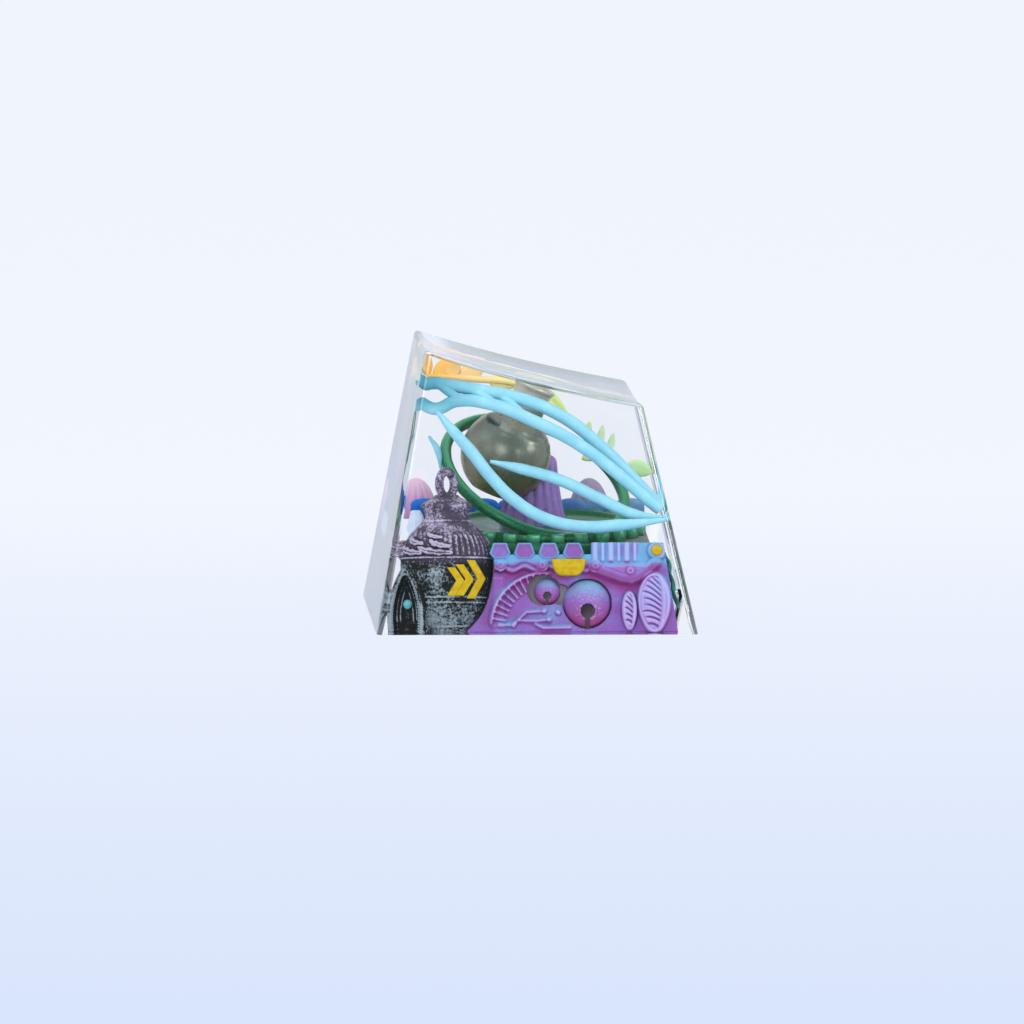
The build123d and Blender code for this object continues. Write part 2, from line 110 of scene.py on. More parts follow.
def blend(tree, factor, first, second):
    settings = {"data_type": "RGBA", "blend_type": "MIX"}
    return addNode(tree, "ShaderNodeMix", settings, {0: factor, 6: first, 7: second}).outputs[2]


def paint(red, green, blue):
    # picture values 0 to 255 to the linear colour that the nodes use
    def linear(value):
        value /= 255.0
        return value / 12.92 if value <= 0.04045 else ((value + 0.055) / 1.055) ** 2.4
    return (linear(red), linear(green), linear(blue), 1.0)


def ramp(tree, value, stops):
    # stops: place along the bar, then the paint
    node = addNode(tree, "ShaderNodeValToRGB", None, {0: value})
    bar = node.color_ramp.elements
    while len(bar) < len(stops):
        bar.new(0.5)
    for element, (place, colour) in zip(bar, stops):
        element.position = place
        element.color = paint(*colour)
    return node.outputs[0]


def objectNoise(tree, scale, detail, rough=0.5):
    place = addNode(tree, "ShaderNodeTexCoord").outputs["Object"]
    return addNode(tree, "ShaderNodeTexNoise", None, {
        "Vector": place, "Scale": scale, "Detail": detail, "Roughness": rough,
    }).outputs[0]


def objectAxis(tree, axis, low, high):
    # 0 to 1 along one axis of the piece, between two places in millimetres
    place = addNode(tree, "ShaderNodeTexCoord").outputs["Object"]
    along = addNode(tree, "ShaderNodeSeparateXYZ", None, {0: place}).outputs[axis]
    return addNode(tree, "ShaderNodeMapRange", None, {0: along, 1: low * mm, 2: high * mm}).outputs[0]


def layer(tree, name):
    return addNode(tree, "ShaderNodeAttribute", {"attribute_name": name}).outputs["Fac"]


def addSockets(tree, direction, sockets):
    # the kind of socket follows from its first value; Geometry and Material start empty
    for label, value in sockets.items():
        if value is None:
            kind = label
        elif isinstance(value, tuple):
            kind = "Color" if len(value) == 4 else "Vector"
        else:
            kind = "Int" if isinstance(value, int) else "Float"
        socket = tree.interface.new_socket(label, in_out=direction, socket_type="NodeSocket" + kind)
        if value is not None:
            socket.default_value = value


def newGroup(name, family, inputs, outputs):
    tree = bpy.data.node_groups.new(name, family)
    addSockets(tree, "INPUT", inputs)
    addSockets(tree, "OUTPUT", outputs)
    return tree, tree.nodes.new("NodeGroupInput").outputs, tree.nodes.new("NodeGroupOutput").inputs


# finishes that several paints share

def grainGroup():
    # fine cast grain: a mask for colour and roughness, and a height for bump
    group, start, end = newGroup(
        "castGrain", "ShaderNodeTree", {"Scale": 2500.0, "Detail": 4.0}, {"Mask": 0.0, "Height": 0.0})
    noise = objectNoise(group, start["Scale"], start["Detail"])
    place = addNode(group, "ShaderNodeTexCoord").outputs["Object"]
    pits = addNode(group, "ShaderNodeTexVoronoi", None, {
        "Vector": place, "Scale": times(group, start["Scale"], 2.2),
    }).outputs[0]
    group.links.new(noise, end["Mask"])
    group.links.new(calc(group, "ADD", noise, times(group, pits, 0.3)), end["Height"])
    return group


def brushGroup():
    # dry brush: light paint caught on raised edges, dark wash left in the hollows
    group, start, end = newGroup("dryBrush", "ShaderNodeTree", {
        "Ground": (0.1, 0.1, 0.1, 1.0), "Light": (0.6, 0.6, 0.6, 1.0), "Wash": (0.01, 0.01, 0.01, 1.0),
        "Relief": 0.5, "Stipple Scale": 6000.0, "Amount": 0.5,
    }, {"Color": (0.0, 0.0, 0.0, 1.0), "Mask": 0.0})
    stipple = objectNoise(group, start["Stipple Scale"], 3.0, 0.7)
    lift = calc(group, "ADD", start["Relief"], times(group, stipple, 0.9))
    mask = past(group, lift, calc(group, "SUBTRACT", 1.4, start["Amount"]), 5.0)
    hollow = past(group, 0.5, start["Relief"], 3.0)
    colour = blend(group, hollow, start["Ground"], start["Wash"])
    group.links.new(blend(group, mask, colour, start["Light"]), end["Color"])
    group.links.new(mask, end["Mask"])
    return group


def airbrushGroup():
    # three paints misted over each other: for the hollows, for the middle and for the high spots
    group, start, end = newGroup("airbrush", "ShaderNodeTree", {
        "Deep": (0.4, 0.05, 0.3, 1.0), "Middle": (0.4, 0.2, 0.6, 1.0), "High": (0.3, 0.6, 0.85, 1.0),
        "Level": 0.5, "Mist Scale": 500.0, "Mist": 0.6, "Speckle Scale": 9000.0,
    }, {"Color": (0.0, 0.0, 0.0, 1.0)})
    mist = calc(group, "SUBTRACT", objectNoise(group, start["Mist Scale"], 2.0), 0.5)
    speckle = calc(group, "SUBTRACT", objectNoise(group, start["Speckle Scale"], 1.0), 0.5)
    level = calc(group, "ADD", start["Level"], times(group, mist, start["Mist"]))
    level = calc(group, "ADD", level, times(group, speckle, 0.35))
    lower = calc(group, "MULTIPLY", level, 2.0, clamp=True)
    colour = blend(group, lower, start["Deep"], start["Middle"])
    group.links.new(blend(group, past(group, level, 0.5, 2.0), colour, start["High"]), end["Color"])
    return group


castGrain = grainGroup()
dryBrush = brushGroup()
airbrush = airbrushGroup()


def useGroup(tree, group, inputs):
    return addNode(tree, "ShaderNodeGroup", {"node_tree": group}, inputs).outputs


def newMaterial(name, roughness=0.5, metallic=0.0, gloss=0.15):
    # paint under resin has little gloss of its own
    material = bpy.data.materials.new(name)
    material.use_nodes = True
    tree = material.node_tree
    shader = tree.nodes["Principled BSDF"]
    shader.inputs["Roughness"].default_value = roughness
    shader.inputs["Metallic"].default_value = metallic
    shader.inputs["Specular IOR Level"].default_value = gloss
    return material, tree, shader


def grainMaterial(name, scale, strength, distance, rough, **finish):
    # grain on a finish: bump and a little unevenness in its gloss; its mask is there for the colour
    material, tree, shader = newMaterial(name, **finish)
    grain = useGroup(tree, castGrain, {"Scale": scale})
    bump = addNode(tree, "ShaderNodeBump", None, {
        "Strength": strength, "Distance": distance * mm, "Height": grain["Height"],
    })
    tree.links.new(bump.outputs[0], shader.inputs["Normal"])
    span = addNode(tree, "ShaderNodeMath", {"operation": "MULTIPLY_ADD"}, {
        0: grain["Mask"], 1: rough[1] - rough[0], 2: rough[0],
    })
    tree.links.new(span.outputs[0], shader.inputs["Roughness"])
    return material, tree, grain["Mask"]


def colourBy(material, tone):
    shader = material.node_tree.nodes["Principled BSDF"]
    material.node_tree.links.new(tone, shader.inputs["Base Color"])
    return material


def twoTone(name, scale, strength, distance, rough, low, high, **finish):
    # a paint whose two tones follow its grain
    material, tree, mask = grainMaterial(name, scale, strength, distance, rough, **finish)
    return colourBy(material, blend(tree, mask, paint(*low), paint(*high)))


def mixSurface(tree, output, factor, first, second):
    both = addNode(tree, "ShaderNodeMixShader", None, {0: factor, 1: first.outputs[0], 2: second.outputs[0]})
    tree.links.new(both.outputs[0], tree.nodes[output].inputs["Surface"])


# meshes and objects

def meshFrom(name, points, faces, layers=None):
    mesh = bpy.data.meshes.new(name)
    mesh.from_pydata((np.asarray(points, float) * mm).tolist(), [], faces)
    for label, values in (layers or {}).items():
        data = mesh.attributes.new(label, "FLOAT", "POINT")
        data.data.foreach_set("value", np.asarray(values, np.float32).ravel())
    return mesh


def cleanMesh(mesh, merge=1e-7):
    work = bmesh.new()
    work.from_mesh(mesh)
    bmesh.ops.remove_doubles(work, verts=work.verts, dist=merge)
    bmesh.ops.dissolve_degenerate(work, edges=work.edges, dist=1e-8)
    loose = [vert for vert in work.verts if not vert.link_faces]
    bmesh.ops.delete(work, geom=loose, context="VERTS")
    bmesh.ops.recalc_face_normals(work, faces=work.faces)
    work.to_mesh(mesh)
    work.free()


def gridFaces(rows, columns, closed=False):
    faces = []
    for row in range(rows - 1):
        for column in range(columns if closed else columns - 1):
            here, below = row * columns, (row + 1) * columns
            right = (column + 1) % columns
            faces.append((here + column, here + right, below + right, below + column))
    return faces


def ringMesh(name, points, sides, layers=None):
    # rings of points, one after the other, as a skin that is closed at both ends
    rows = len(points) // sides
    faces = gridFaces(rows, sides, closed=True)
    faces += [tuple(range(sides)), tuple(range((rows - 1) * sides, rows * sides))]
    mesh = meshFrom(name, points, faces, layers)
    cleanMesh(mesh)
    return mesh


def latheMesh(name, rings, place, sides):
    # turned piece: radius and height of each ring, which the function given puts in place
    points = [place(x, y, height) for radius, height in rings for x, y in circleSpots(sides, radius)]
    return ringMesh(name, points, sides)


def newObject(name, mesh, smooth=True):
    piece = bpy.data.objects.new(name, mesh)
    scene.collection.objects.link(piece)
    if smooth:
        mesh.shade_smooth()
    return piece


def finishPiece(piece, finishes, nodes=()):
    marks = [face.material_index for face in piece.data.polygons]
    piece.data.materials.clear()
    for finish in finishes:
        piece.data.materials.append(finish)
    if len(finishes) > 1:
        piece.data.polygons.foreach_set("material_index", marks)
    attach(piece, "root")
    if nodes:
        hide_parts(*nodes)


def plainMesh(piece):
    # what the modifiers make, as a plain mesh on the same name
    evaluated = piece.evaluated_get(bpy.context.evaluated_depsgraph_get())
    mesh = bpy.data.meshes.new_from_object(evaluated)
    name = piece.name
    old = piece.data
    bpy.data.objects.remove(piece)
    if isinstance(old, bpy.types.Curve):
        bpy.data.curves.remove(old)
    mesh.name = name
    return newObject(name, mesh, smooth=False)


def joinPieces(name, pieces):
    work = bmesh.new()
    for piece in pieces:
        work.from_mesh(piece.data)
        bpy.data.objects.remove(piece)
    mesh = bpy.data.meshes.new(name)
    work.to_mesh(mesh)
    work.free()
    return newObject(name, mesh)


def carve(piece, cutter):
    # the cut is made a thousand times larger, where the solver is at home
    for each in (piece, cutter):
        each.data.transform(Matrix.Scale(1 / mm, 4))
    modifier = piece.modifiers.new("carve", "BOOLEAN")
    modifier.operation = "DIFFERENCE"
    modifier.solver = "EXACT"
    modifier.object = cutter
    made = plainMesh(piece)
    made.data.transform(Matrix.Scale(mm, 4))
    bpy.data.objects.remove(cutter)
    return made


def curveObject(name, routes, cyclic=False):
    data = bpy.data.curves.new(name, "CURVE")
    data.dimensions = "3D"
    data.resolution_u = 10
    for route in routes:
        spline = data.splines.new("BEZIER")
        spline.bezier_points.add(len(route) - 1)
        for point, spot in zip(spline.bezier_points, route):
            point.co = Vector(spot) * mm
            point.handle_left_type = point.handle_right_type = "AUTO"
        spline.use_cyclic_u = cyclic
    piece = bpy.data.objects.new(name, data)
    scene.collection.objects.link(piece)
    return piece


# geometry node trees

def newTree(name, inputs):
    sockets = {"Geometry": None, **inputs, "Material": None}
    return newGroup(name, "GeometryNodeTree", sockets, {"Geometry": None})


def closeTree(tree, start, end, geometry):
    real = addNode(tree, "GeometryNodeRealizeInstances", None, {0: geometry})
    smooth = addNode(tree, "GeometryNodeSetShadeSmooth", None, {0: real.outputs[0]})
    finish = addNode(tree, "GeometryNodeSetMaterial", None, {
        "Geometry": smooth.outputs[0], "Material": start["Material"],
    })
    tree.links.new(finish.outputs[0], end[0])
    return tree


def markRelief(tree, start, geometry):
    return addNode(tree, "GeometryNodeStoreNamedAttribute", {"data_type": "FLOAT", "domain": "POINT"}, {
        "Geometry": geometry, "Name": "relief", "Value": start["Relief"],
    }).outputs[0]


def strandTree():
    # round strand on a path, thinner towards either end
    tree, start, end = newTree("strandOnPath", {
        "Radius": 0.0004, "Start Taper": 0.2, "End Taper": 0.2, "Tip": 0.3, "Sides": 14, "Relief": 0.5,
    })
    along = addNode(tree, "GeometryNodeSplineParameter").outputs["Factor"]
    rise = calc(tree, "DIVIDE", along, start["Start Taper"], clamp=True)
    fall = calc(tree, "DIVIDE", calc(tree, "SUBTRACT", 1.0, along), start["End Taper"], clamp=True)
    both = calc(tree, "POWER", times(tree, rise, fall), 0.6)
    span = calc(tree, "SUBTRACT", 1.0, start["Tip"])
    share = calc(tree, "ADD", times(tree, both, span), start["Tip"])
    ring = addNode(tree, "GeometryNodeCurvePrimitiveCircle", None, {
        "Resolution": start["Sides"], "Radius": 1.0,
    })
    tube = addNode(tree, "GeometryNodeCurveToMesh", None, {
        "Curve": start["Geometry"], "Profile Curve": ring.outputs[0],
        "Scale": times(tree, share, start["Radius"]), "Fill Caps": True,
    })
    return closeTree(tree, start, end, markRelief(tree, start, tube.outputs[0]))


def beadTree():
    # round beads set at even steps along a path
    tree, start, end = newTree("beadsOnPath", {"Count": 20, "Size": 0.0001, "Relief": 0.7})
    even = addNode(tree, "GeometryNodeResampleCurve", None, {
        "Curve": start["Geometry"], "Count": start["Count"],
    })
    ball = addNode(tree, "GeometryNodeMeshIcoSphere", None, {"Radius": 1.0, "Subdivisions": 2})
    bead = markRelief(tree, start, ball.outputs[0])
    beads = addNode(tree, "GeometryNodeInstanceOnPoints", None, {
        "Points": even.outputs[0], "Instance": bead, "Scale": start["Size"],
    })
    return closeTree(tree, start, end, beads.outputs[0])


def rowTree():
    # copies of the piece itself in a straight row
    tree, start, end = newTree("rowOfCopies", {"Count": 4, "Step": (0.001, 0.0, 0.0)})
    line = addNode(tree, "GeometryNodeMeshLine", None, {"Count": start["Count"], "Offset": start["Step"]})
    copies = addNode(tree, "GeometryNodeInstanceOnPoints", None, {
        "Points": line.outputs[0], "Instance": start["Geometry"],
    })
    return closeTree(tree, start, end, copies.outputs[0])


def ringTree():
    # copies of the piece itself around an upright axis
    tree, start, end = newTree("ringOfCopies", {"Count": 20, "Centre": (0.0, 0.0, 0.0)})
    line = addNode(tree, "GeometryNodeMeshLine", None, {"Count": start["Count"], "Offset": (0.0, 0.0, 0.0)})
    index = addNode(tree, "GeometryNodeInputIndex").outputs[0]
    turn = calc(tree, "DIVIDE", times(tree, index, 2 * math.pi), start["Count"])
    spin = addNode(tree, "ShaderNodeCombineXYZ", None, {2: turn})
    copies = addNode(tree, "GeometryNodeInstanceOnPoints", None, {
        "Points": line.outputs[0], "Instance": start["Geometry"], "Rotation": spin.outputs[0],
    })
    moved = addNode(tree, "GeometryNodeTransform", None, {
        "Geometry": copies.outputs[0], "Translation": start["Centre"],
    })
    return closeTree(tree, start, end, moved.outputs[0])


strandOnPath = strandTree()
beadsOnPath = beadTree()
rowOfCopies = rowTree()
ringOfCopies = ringTree()


def useTree(piece, tree, values):
    modifier = piece.modifiers.new(tree.name, "NODES")
    modifier.node_group = tree
    sockets = {item.name: item.identifier for item in tree.interface.items_tree if item.in_out == "INPUT"}
    for label, value in values.items():
        modifier[sockets[label]] = value
    return plainMesh(piece)


def strandPiece(name, routes, radius, sides, start=0.001, end=0.001, tip=1.0, relief=0.5, cyclic=False):
    return useTree(curveObject(name, routes, cyclic), strandOnPath, {
        "Radius": radius * mm, "Start Taper": start, "End Taper": end, "Tip": tip,
        "Sides": sides, "Relief": relief,
    })


view = {
    "target": (-0.96, 0.0, 5.98), "distance": 500.0, "azimuth": -3.45, "elevation": 6.67, "roll": 0.34,
    "lens": 303.0, "sensor": 36.0, "clip": (0.01, 50.0),
}


def setCamera():
    data = bpy.data.cameras.new("photoCamera")
    data.lens = view["lens"]
    data.sensor_width = view["sensor"]
    data.clip_start, data.clip_end = view["clip"]
    camera = bpy.data.objects.new("photoCamera", data)
    scene.collection.objects.link(camera)
    turn = math.radians(view["azimuth"])
    rise = math.radians(view["elevation"])
    back = Vector((math.sin(turn) * math.cos(rise), -math.cos(turn) * math.cos(rise), math.sin(rise)))
    camera.matrix_world = (
        Matrix.Translation((Vector(view["target"]) + back * view["distance"]) * mm)
        @ back.to_track_quat("Z", "Y").to_matrix().to_4x4()
        @ Matrix.Rotation(math.radians(view["roll"]), 4, "Z")
    )
    scene.camera = camera


stage = {
    "floorSize": 6.0, "drop": 0.00002, "near": paint(214, 226, 250), "far": paint(243, 247, 255),
    "fade": (-140.0, 60.0), "glow": 0.94, "albedo": (0.80, 0.84, 0.92, 1.0),
    "roomColour": (0.90, 0.94, 1.0, 1.0), "roomLight": 0.62,
    "backdrop": paint(243, 247, 255), "nearSide": 0.2, "nearReach": (-0.2, -0.7),
}


def seenPaths(tree):
    # the light paths that show a surface to the camera, straight or by way of the resin
    path = addNode(tree, "ShaderNodeLightPath").outputs
    seen = calc(tree, "MAXIMUM", path["Is Camera Ray"], path["Is Glossy Ray"])
    return path, calc(tree, "MAXIMUM", seen, path["Is Transmission Ray"])


def setFloor():
    size = stage["floorSize"]
    corners = [(-size, -size, 0), (size, -size, 0), (size, size, 0), (-size, size, 0)]
    mesh = bpy.data.meshes.new("floor")
    mesh.from_pydata(corners, [], [(0, 1, 2, 3)])
    mesh.transform(Matrix.Translation((0, 0, -stage["drop"])))
    floor = newObject("floor", mesh, smooth=False)
    material, tree, shader = newMaterial("paleFloor", roughness=0.7)
    shader.inputs["Base Color"].default_value = stage["albedo"]
    tone = blend(tree, objectAxis(tree, 1, *stage["fade"]), stage["near"], stage["far"])
    glow = addNode(tree, "ShaderNodeEmission", None, {"Color": tone})
    mixSurface(tree, "Material Output", times(tree, seenPaths(tree)[1], stage["glow"]), shader, glow)
    mesh.materials.append(material)


def setRoom():
    world = bpy.data.worlds.new("whiteRoom")
    world.use_nodes = True
    scene.world = world
    tree = world.node_tree
    path, seen = seenPaths(tree)
    room = tree.nodes["Background"]
    room.inputs["Color"].default_value = stage["roomColour"]
    room.inputs["Strength"].default_value = stage["roomLight"]
    # a reflection of the near side of the room is dimmer
    place = addNode(tree, "ShaderNodeTexCoord").outputs["Generated"]
    way = addNode(tree, "ShaderNodeSeparateXYZ", None, {0: place})
    low, high = stage["nearReach"]
    near = addNode(tree, "ShaderNodeMapRange", {"clamp": True}, {
        "Value": way.outputs["Y"], "From Min": low, "From Max": high,
        "To Min": 0.0, "To Max": 1 - stage["nearSide"],
    })
    dim = calc(tree, "SUBTRACT", 1.0, times(tree, near.outputs[0], path["Is Glossy Ray"]))
    backdrop = addNode(tree, "ShaderNodeBackground", None, {"Color": stage["backdrop"], "Strength": dim})
    mixSurface(tree, "World Output", seen, room, backdrop)


lamps = [
    {"name": "softTop", "place": (-80, -60, 260), "size": 240, "power": 0.26},
    {"name": "softFront", "place": (-120, -330, 170), "size": 220, "power": 0.46},
    {"name": "softRight", "place": (260, -160, 120), "size": 90, "power": 0.28},
]


def setLamps(target=(0.0, 0.0, 8.0)):
    for lamp in lamps:
        data = bpy.data.lights.new(lamp["name"], "AREA")
        data.size = lamp["size"] * mm
        data.energy = lamp["power"]
        light = bpy.data.objects.new(lamp["name"], data)
        scene.collection.objects.link(light)
        place = Vector(lamp["place"]) * mm
        aim = (place - Vector(target) * mm).to_track_quat("Z", "Y")
        light.matrix_world = Matrix.Translation(place) @ aim.to_matrix().to_4x4()


setCamera()
setFloor()
setRoom()
setLamps()
print("camera and stage set")


# the clear block; its tints stand for the satin top and back and for the rounded rim, and the darker tints of
# the back and the rim are painted shade
resin = {
    "inset": 0.06, "sideSteps": 24, "cornerSteps": 6, "heightSteps": 10, "rimSteps": 5, "dishSteps": 14,
    "ior": 1.5, "tint": (0.995, 0.998, 1.0, 1.0), "rimShadeTint": (0.5, 0.56, 0.6, 1.0), "rimSlope": (0.22, 0.6),
    "satin": 0.2, "satinClear": 0.75, "flatWithin": 0.5,
    "topTint": (0.9, 0.95, 1.0, 1.0), "topGloss": (0.96, 0.98, 1.0, 1.0),
    "backShadeTint": (0.62, 0.71, 0.9, 1.0), "backShadeGloss": (0.72, 0.79, 0.94, 1.0),
}


def dishCentre():
    # middle of the large ball that dishes the sloping top: across and up
    back = -cap["half"] + cap["backHeight"] * slopeOf(cap["backDraft"])
    front = cap["half"] - cap["frontHeight"] * slopeOf(cap["frontDraft"])
    run, fall = front - back, cap["backHeight"] - cap["frontHeight"]
    lift = (cap["dishRadius"] - cap["dishDepth"]) / math.hypot(run, fall)
    return back + run / 2 + fall * lift, (cap["backHeight"] + cap["frontHeight"]) / 2 + run * lift


dish = dishCentre()


def dishHeight(x, y):
    return dish[1] - math.sqrt(cap["dishRadius"] ** 2 - (x - dish[0]) ** 2 - y * y)


def blockPoint(way, z, inset=0.0):
    # way: which corner, turn in the corner, share along the side that follows
    corner, turn, share = way
    back = -cap["half"] + z * slopeOf(cap["backDraft"]) + inset
    front = cap["half"] - z * slopeOf(cap["frontDraft"]) - inset
    side = cap["half"] - z * slopeOf(cap["sideDraft"]) - inset
    radius = cap["cornerRadius"] - inset
    corners = [(front, side, 0.0), (back, side, 90.0), (back, -side, 180.0), (front, -side, 270.0)]

    def bend(which, angle):
        x, y, first = corners[which % 4]
        spin = math.radians(first + angle)
        return Vector((x - math.copysign(radius, x) + radius * math.cos(spin),
                       y - math.copysign(radius, y) + radius * math.sin(spin)))
    if share is None:
        return bend(corner, turn)
    return bend(corner, 90.0).lerp(bend(corner + 1, 0.0), share)


def blockWays():
    ways = []
    for corner in range(4):
        ways += [(corner, 90.0 * step / resin["cornerSteps"], None) for step in range(resin["cornerSteps"])]
        ways += [(corner, 90.0, step / resin["sideSteps"]) for step in range(resin["sideSteps"])]
    return ways


def topHeight(way):
    # where a side that leans inwards meets the dish, by repeated steps
    z = cap["frontHeight"]
    for _ in range(30):
        z = dishHeight(*blockPoint(way, z))
    return z


def blockRings():
    ways = blockWays()
    tops = [topHeight(way) for way in ways]
    rim = cap["rimRadius"]
    rings = []
    for step in range(resin["heightSteps"] + 1):
        heights = [(top - rim) * step / resin["heightSteps"] for top in tops]
        rings.append([(*blockPoint(way, z), z) for way, z in zip(ways, heights)])
    for step in range(1, resin["rimSteps"] + 1):
        angle = math.pi / 2 * step / resin["rimSteps"]
        inset = rim * (1 - math.cos(angle))
        spots = [blockPoint(way, top - rim + rim * math.sin(angle), inset) for way, top in zip(ways, tops)]
        rings.append([(*spot, dishHeight(*spot) - rim * (1 - math.sin(angle))) for spot in spots])
    edge = rings[-1]
    centre = sum(x for x, _, _ in edge) / len(edge)
    for step in range(1, resin["dishSteps"]):
        share = 1 - step / resin["dishSteps"]
        spots = [(centre + (x - centre) * share, y * share) for x, y, _ in edge]
        rings.append([(*spot, dishHeight(*spot)) for spot in spots])
    # the hollow that the base fills, a hair inside the base's own walls
    hollow = []
    for z in (stem["deck"] - resin["inset"], 0.0):
        reach = stem["half"] - z * slopeOf(stem["draft"]) - resin["inset"]
        scales = [reach / max(abs(x), abs(y)) for x, y, _ in rings[0]]
        hollow.append([(x * scale, y * scale, z) for (x, y, _), scale in zip(rings[0], scales)])
    return hollow + rings, (centre, 0.0, dishHeight(centre, 0.0))


def markFinishes(mesh):
    # finish 1 is the top, 2 the back side and 3 the rounded rim; the flat sides stay flat
    drafts = ((0, -1, "backDraft"), (0, 1, "frontDraft"), (1, 1, "sideDraft"), (1, -1, "sideDraft"))
    sides = []
    for axis, sign, draft in drafts:
        normal = Vector((0, 0, math.sin(math.radians(cap[draft]))))
        normal[axis] = sign * math.cos(math.radians(cap[draft]))
        sides.append(normal)
    low, high = resin["rimSlope"]
    flat = math.cos(math.radians(resin["flatWithin"]))
    for face in mesh.polygons:
        middle, rise = face.center, face.normal.z
        onSide = [face.normal.dot(side) > flat for side in sides]
        hollow = max(abs(middle.x), abs(middle.y)) < stem["half"] * mm and middle.z < stem["deck"] * mm
        face.use_smooth = not (any(onSide) or hollow or rise < -0.9)
        if onSide[0]:
            face.material_index = 2
        elif rise > high:
            face.material_index = 1
        elif rise > low and not any(onSide):
            face.material_index = 3


def resinBlock():
    rings, crown = blockRings()
    count = len(rings[0])
    points = [point for ring in rings for point in ring] + [crown]
    last = len(points) - 1
    faces = gridFaces(len(rings), count, closed=True) + [tuple(range(count))]
    for column in range(count):
        faces.append((last - count + column, last - count + (column + 1) % count, last))
    mesh = meshFrom("resinBlock", points, faces)
    cleanMesh(mesh)
    piece = newObject("resinBlock", mesh)
    markFinishes(mesh)
    return piece


def clearResin(name, tint):
    material, tree, shader = newMaterial(name, roughness=0.0, gloss=0.5)
    shader.inputs["Base Color"].default_value = tint
    shader.inputs["IOR"].default_value = resin["ior"]
    shader.inputs["Transmission Weight"].default_value = 1.0
    path = addNode(tree, "ShaderNodeLightPath").outputs
    through = calc(tree, "MAXIMUM", path["Is Shadow Ray"], path["Is Diffuse Ray"])
    mixSurface(tree, "Material Output", through, shader, addNode(tree, "ShaderNodeBsdfTransparent"))
    return material


def satinResin(name, tint, gloss):
    # the top and the back side are rubbed down, so they look milky at a low angle
    material = clearResin(name, tint)
    shader = material.node_tree.nodes["Principled BSDF"]
    shader.inputs["Roughness"].default_value = resin["satin"]
    shader.inputs["Transmission Weight"].default_value = resin["satinClear"]
    shader.inputs["Specular Tint"].default_value = gloss
    return material


resinFinishes = [
    clearResin("clearResin", resin["tint"]),
    satinResin("satinTop", resin["topTint"], resin["topGloss"]),
    # painted shade: the back side has a darker blue tint and gloss colour than the top
    satinResin("satinBackShade", resin["backShadeTint"], resin["backShadeGloss"]),
    # painted shade: the rounded rim is tinted dark, for the block's dark edges
    clearResin("rimShadeResin", resin["rimShadeTint"]),
]
finishPiece(resinBlock(), resinFinishes, ["resin_body"])
print("resin block made")


def stemBase():
    # the CAD solid with its own finish
    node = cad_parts["stem_base"]
    node.data.materials.clear()
    node.data.materials.append(twoTone(
        "greyBase", 2200.0, 0.25, 0.02, (0.45, 0.7), (116, 116, 120), (146, 146, 148), gloss=0.3))


stemBase()
print("base finished")


# relief, as height fields over the near face

def gauss(value, middle, width, power=2):
    return np.exp(-((value - middle) / width) ** power)


def soften(field, rounds):
    # repeated neighbour averages over a height field
    for _ in range(rounds):
        wide = np.pad(field, 1, mode="edge")
        around = wide[:-2, 1:-1] + wide[2:, 1:-1] + wide[1:-1, :-2] + wide[1:-1, 2:]
        field = (wide[1:-1, 1:-1] * 2 + around) / 6
    return field


def edgeLight(height, rounds):
    # 0.5 on flat ground, more on ridges, less in hollows
    return 0.5 + 5.0 * (height - soften(height, rounds))


def lineDistance(x, y, route):
    # distance from each grid point to a line of straight runs, and how far along it the nearest place is
    best = np.full(x.shape, 1e9)
    along = np.zeros(x.shape)
    for index, ((ax, ay), (bx, by)) in enumerate(zip(route, route[1:])):
        run = (bx - ax) ** 2 + (by - ay) ** 2
        share = np.clip(((x - ax) * (bx - ax) + (y - ay) * (by - ay)) / run, 0.0, 1.0)
        away = np.hypot(x - ax - share * (bx - ax), y - ay - share * (by - ay))
        along = np.where(away < best, (index + share) / (len(route) - 1), along)
        best = np.minimum(best, away)
    return best, along


def spotList(axes):
    return np.stack(axes, axis=-1).reshape(-1, 3)


def sheetFaces(kept):
    # front and back of a relief, cell by cell, with a wall along every open edge
    rows, columns = kept.shape[0] + 1, kept.shape[1] + 1
    total = rows * columns
    front = []
    edges = {}
    for row, column in zip(*np.nonzero(kept)):
        start = int(row * columns + column)
        face = (start, start + 1, start + columns + 1, start + columns)
        front.append(face)
        for first, second in zip(face, face[1:] + face[:1]):
            if (second, first) in edges:
                del edges[(second, first)]
            else:
                edges[(first, second)] = True
    walls = [(second, first, first + total, second + total) for first, second in edges]
    return front + walls + [tuple(index + total for index in reversed(face)) for face in front]


def tuckIntoBase(points, depth=0.1):
    # what would stick into the hollow base is laid just inside its skin
    slope = slopeOf(stem["draft"])
    for point in points:
        x, y, z = point
        reach = stem["half"] - z * slope
        # room to each wall, the axis to move along and which way
        rooms = [
            (stem["deck"] - z, 2, 1), (reach + y, 1, -1), (reach - y, 1, 1),
            (reach + x, 0, -1), (reach - x, 0, 1),
        ]
        room, axis, sign = min(rooms, key=lambda each: each[0])
        if room > depth:
            point[axis] += sign * (room - depth)
    return points


def slabMesh(name, outline, low, high, place, inset, panel=None):
    # flat outline raised from low to high with a rounded edge; a sunk panel has its own paint level
    outline = np.asarray(outline, float)
    middle = outline.mean(axis=0)
    away = outline - middle
    edge = inset / np.maximum(np.linalg.norm(away, axis=1, keepdims=True), 1e-6)
    # height, share of the outline, paint level
    rings = [
        (low, 1.0, 0.6), (high - inset, 1.0, 0.9),
        (high - 0.3 * inset, 1 - 0.35 * edge, 1.0), (high, 1 - edge, 0.8),
    ]
    if panel:
        rings += [(high, 0.86, 0.85), (high - 0.04, 0.79, panel), (high - 0.04, 0.3, panel)]
    points = []
    marks = []
    for out, share, mark in rings:
        points += [place(x, up, out) for x, up in middle + away * share]
        marks += [mark] * len(outline)
    return ringMesh(name, points, len(outline), {"level": marks, "relief": np.full(len(points), 0.5)})


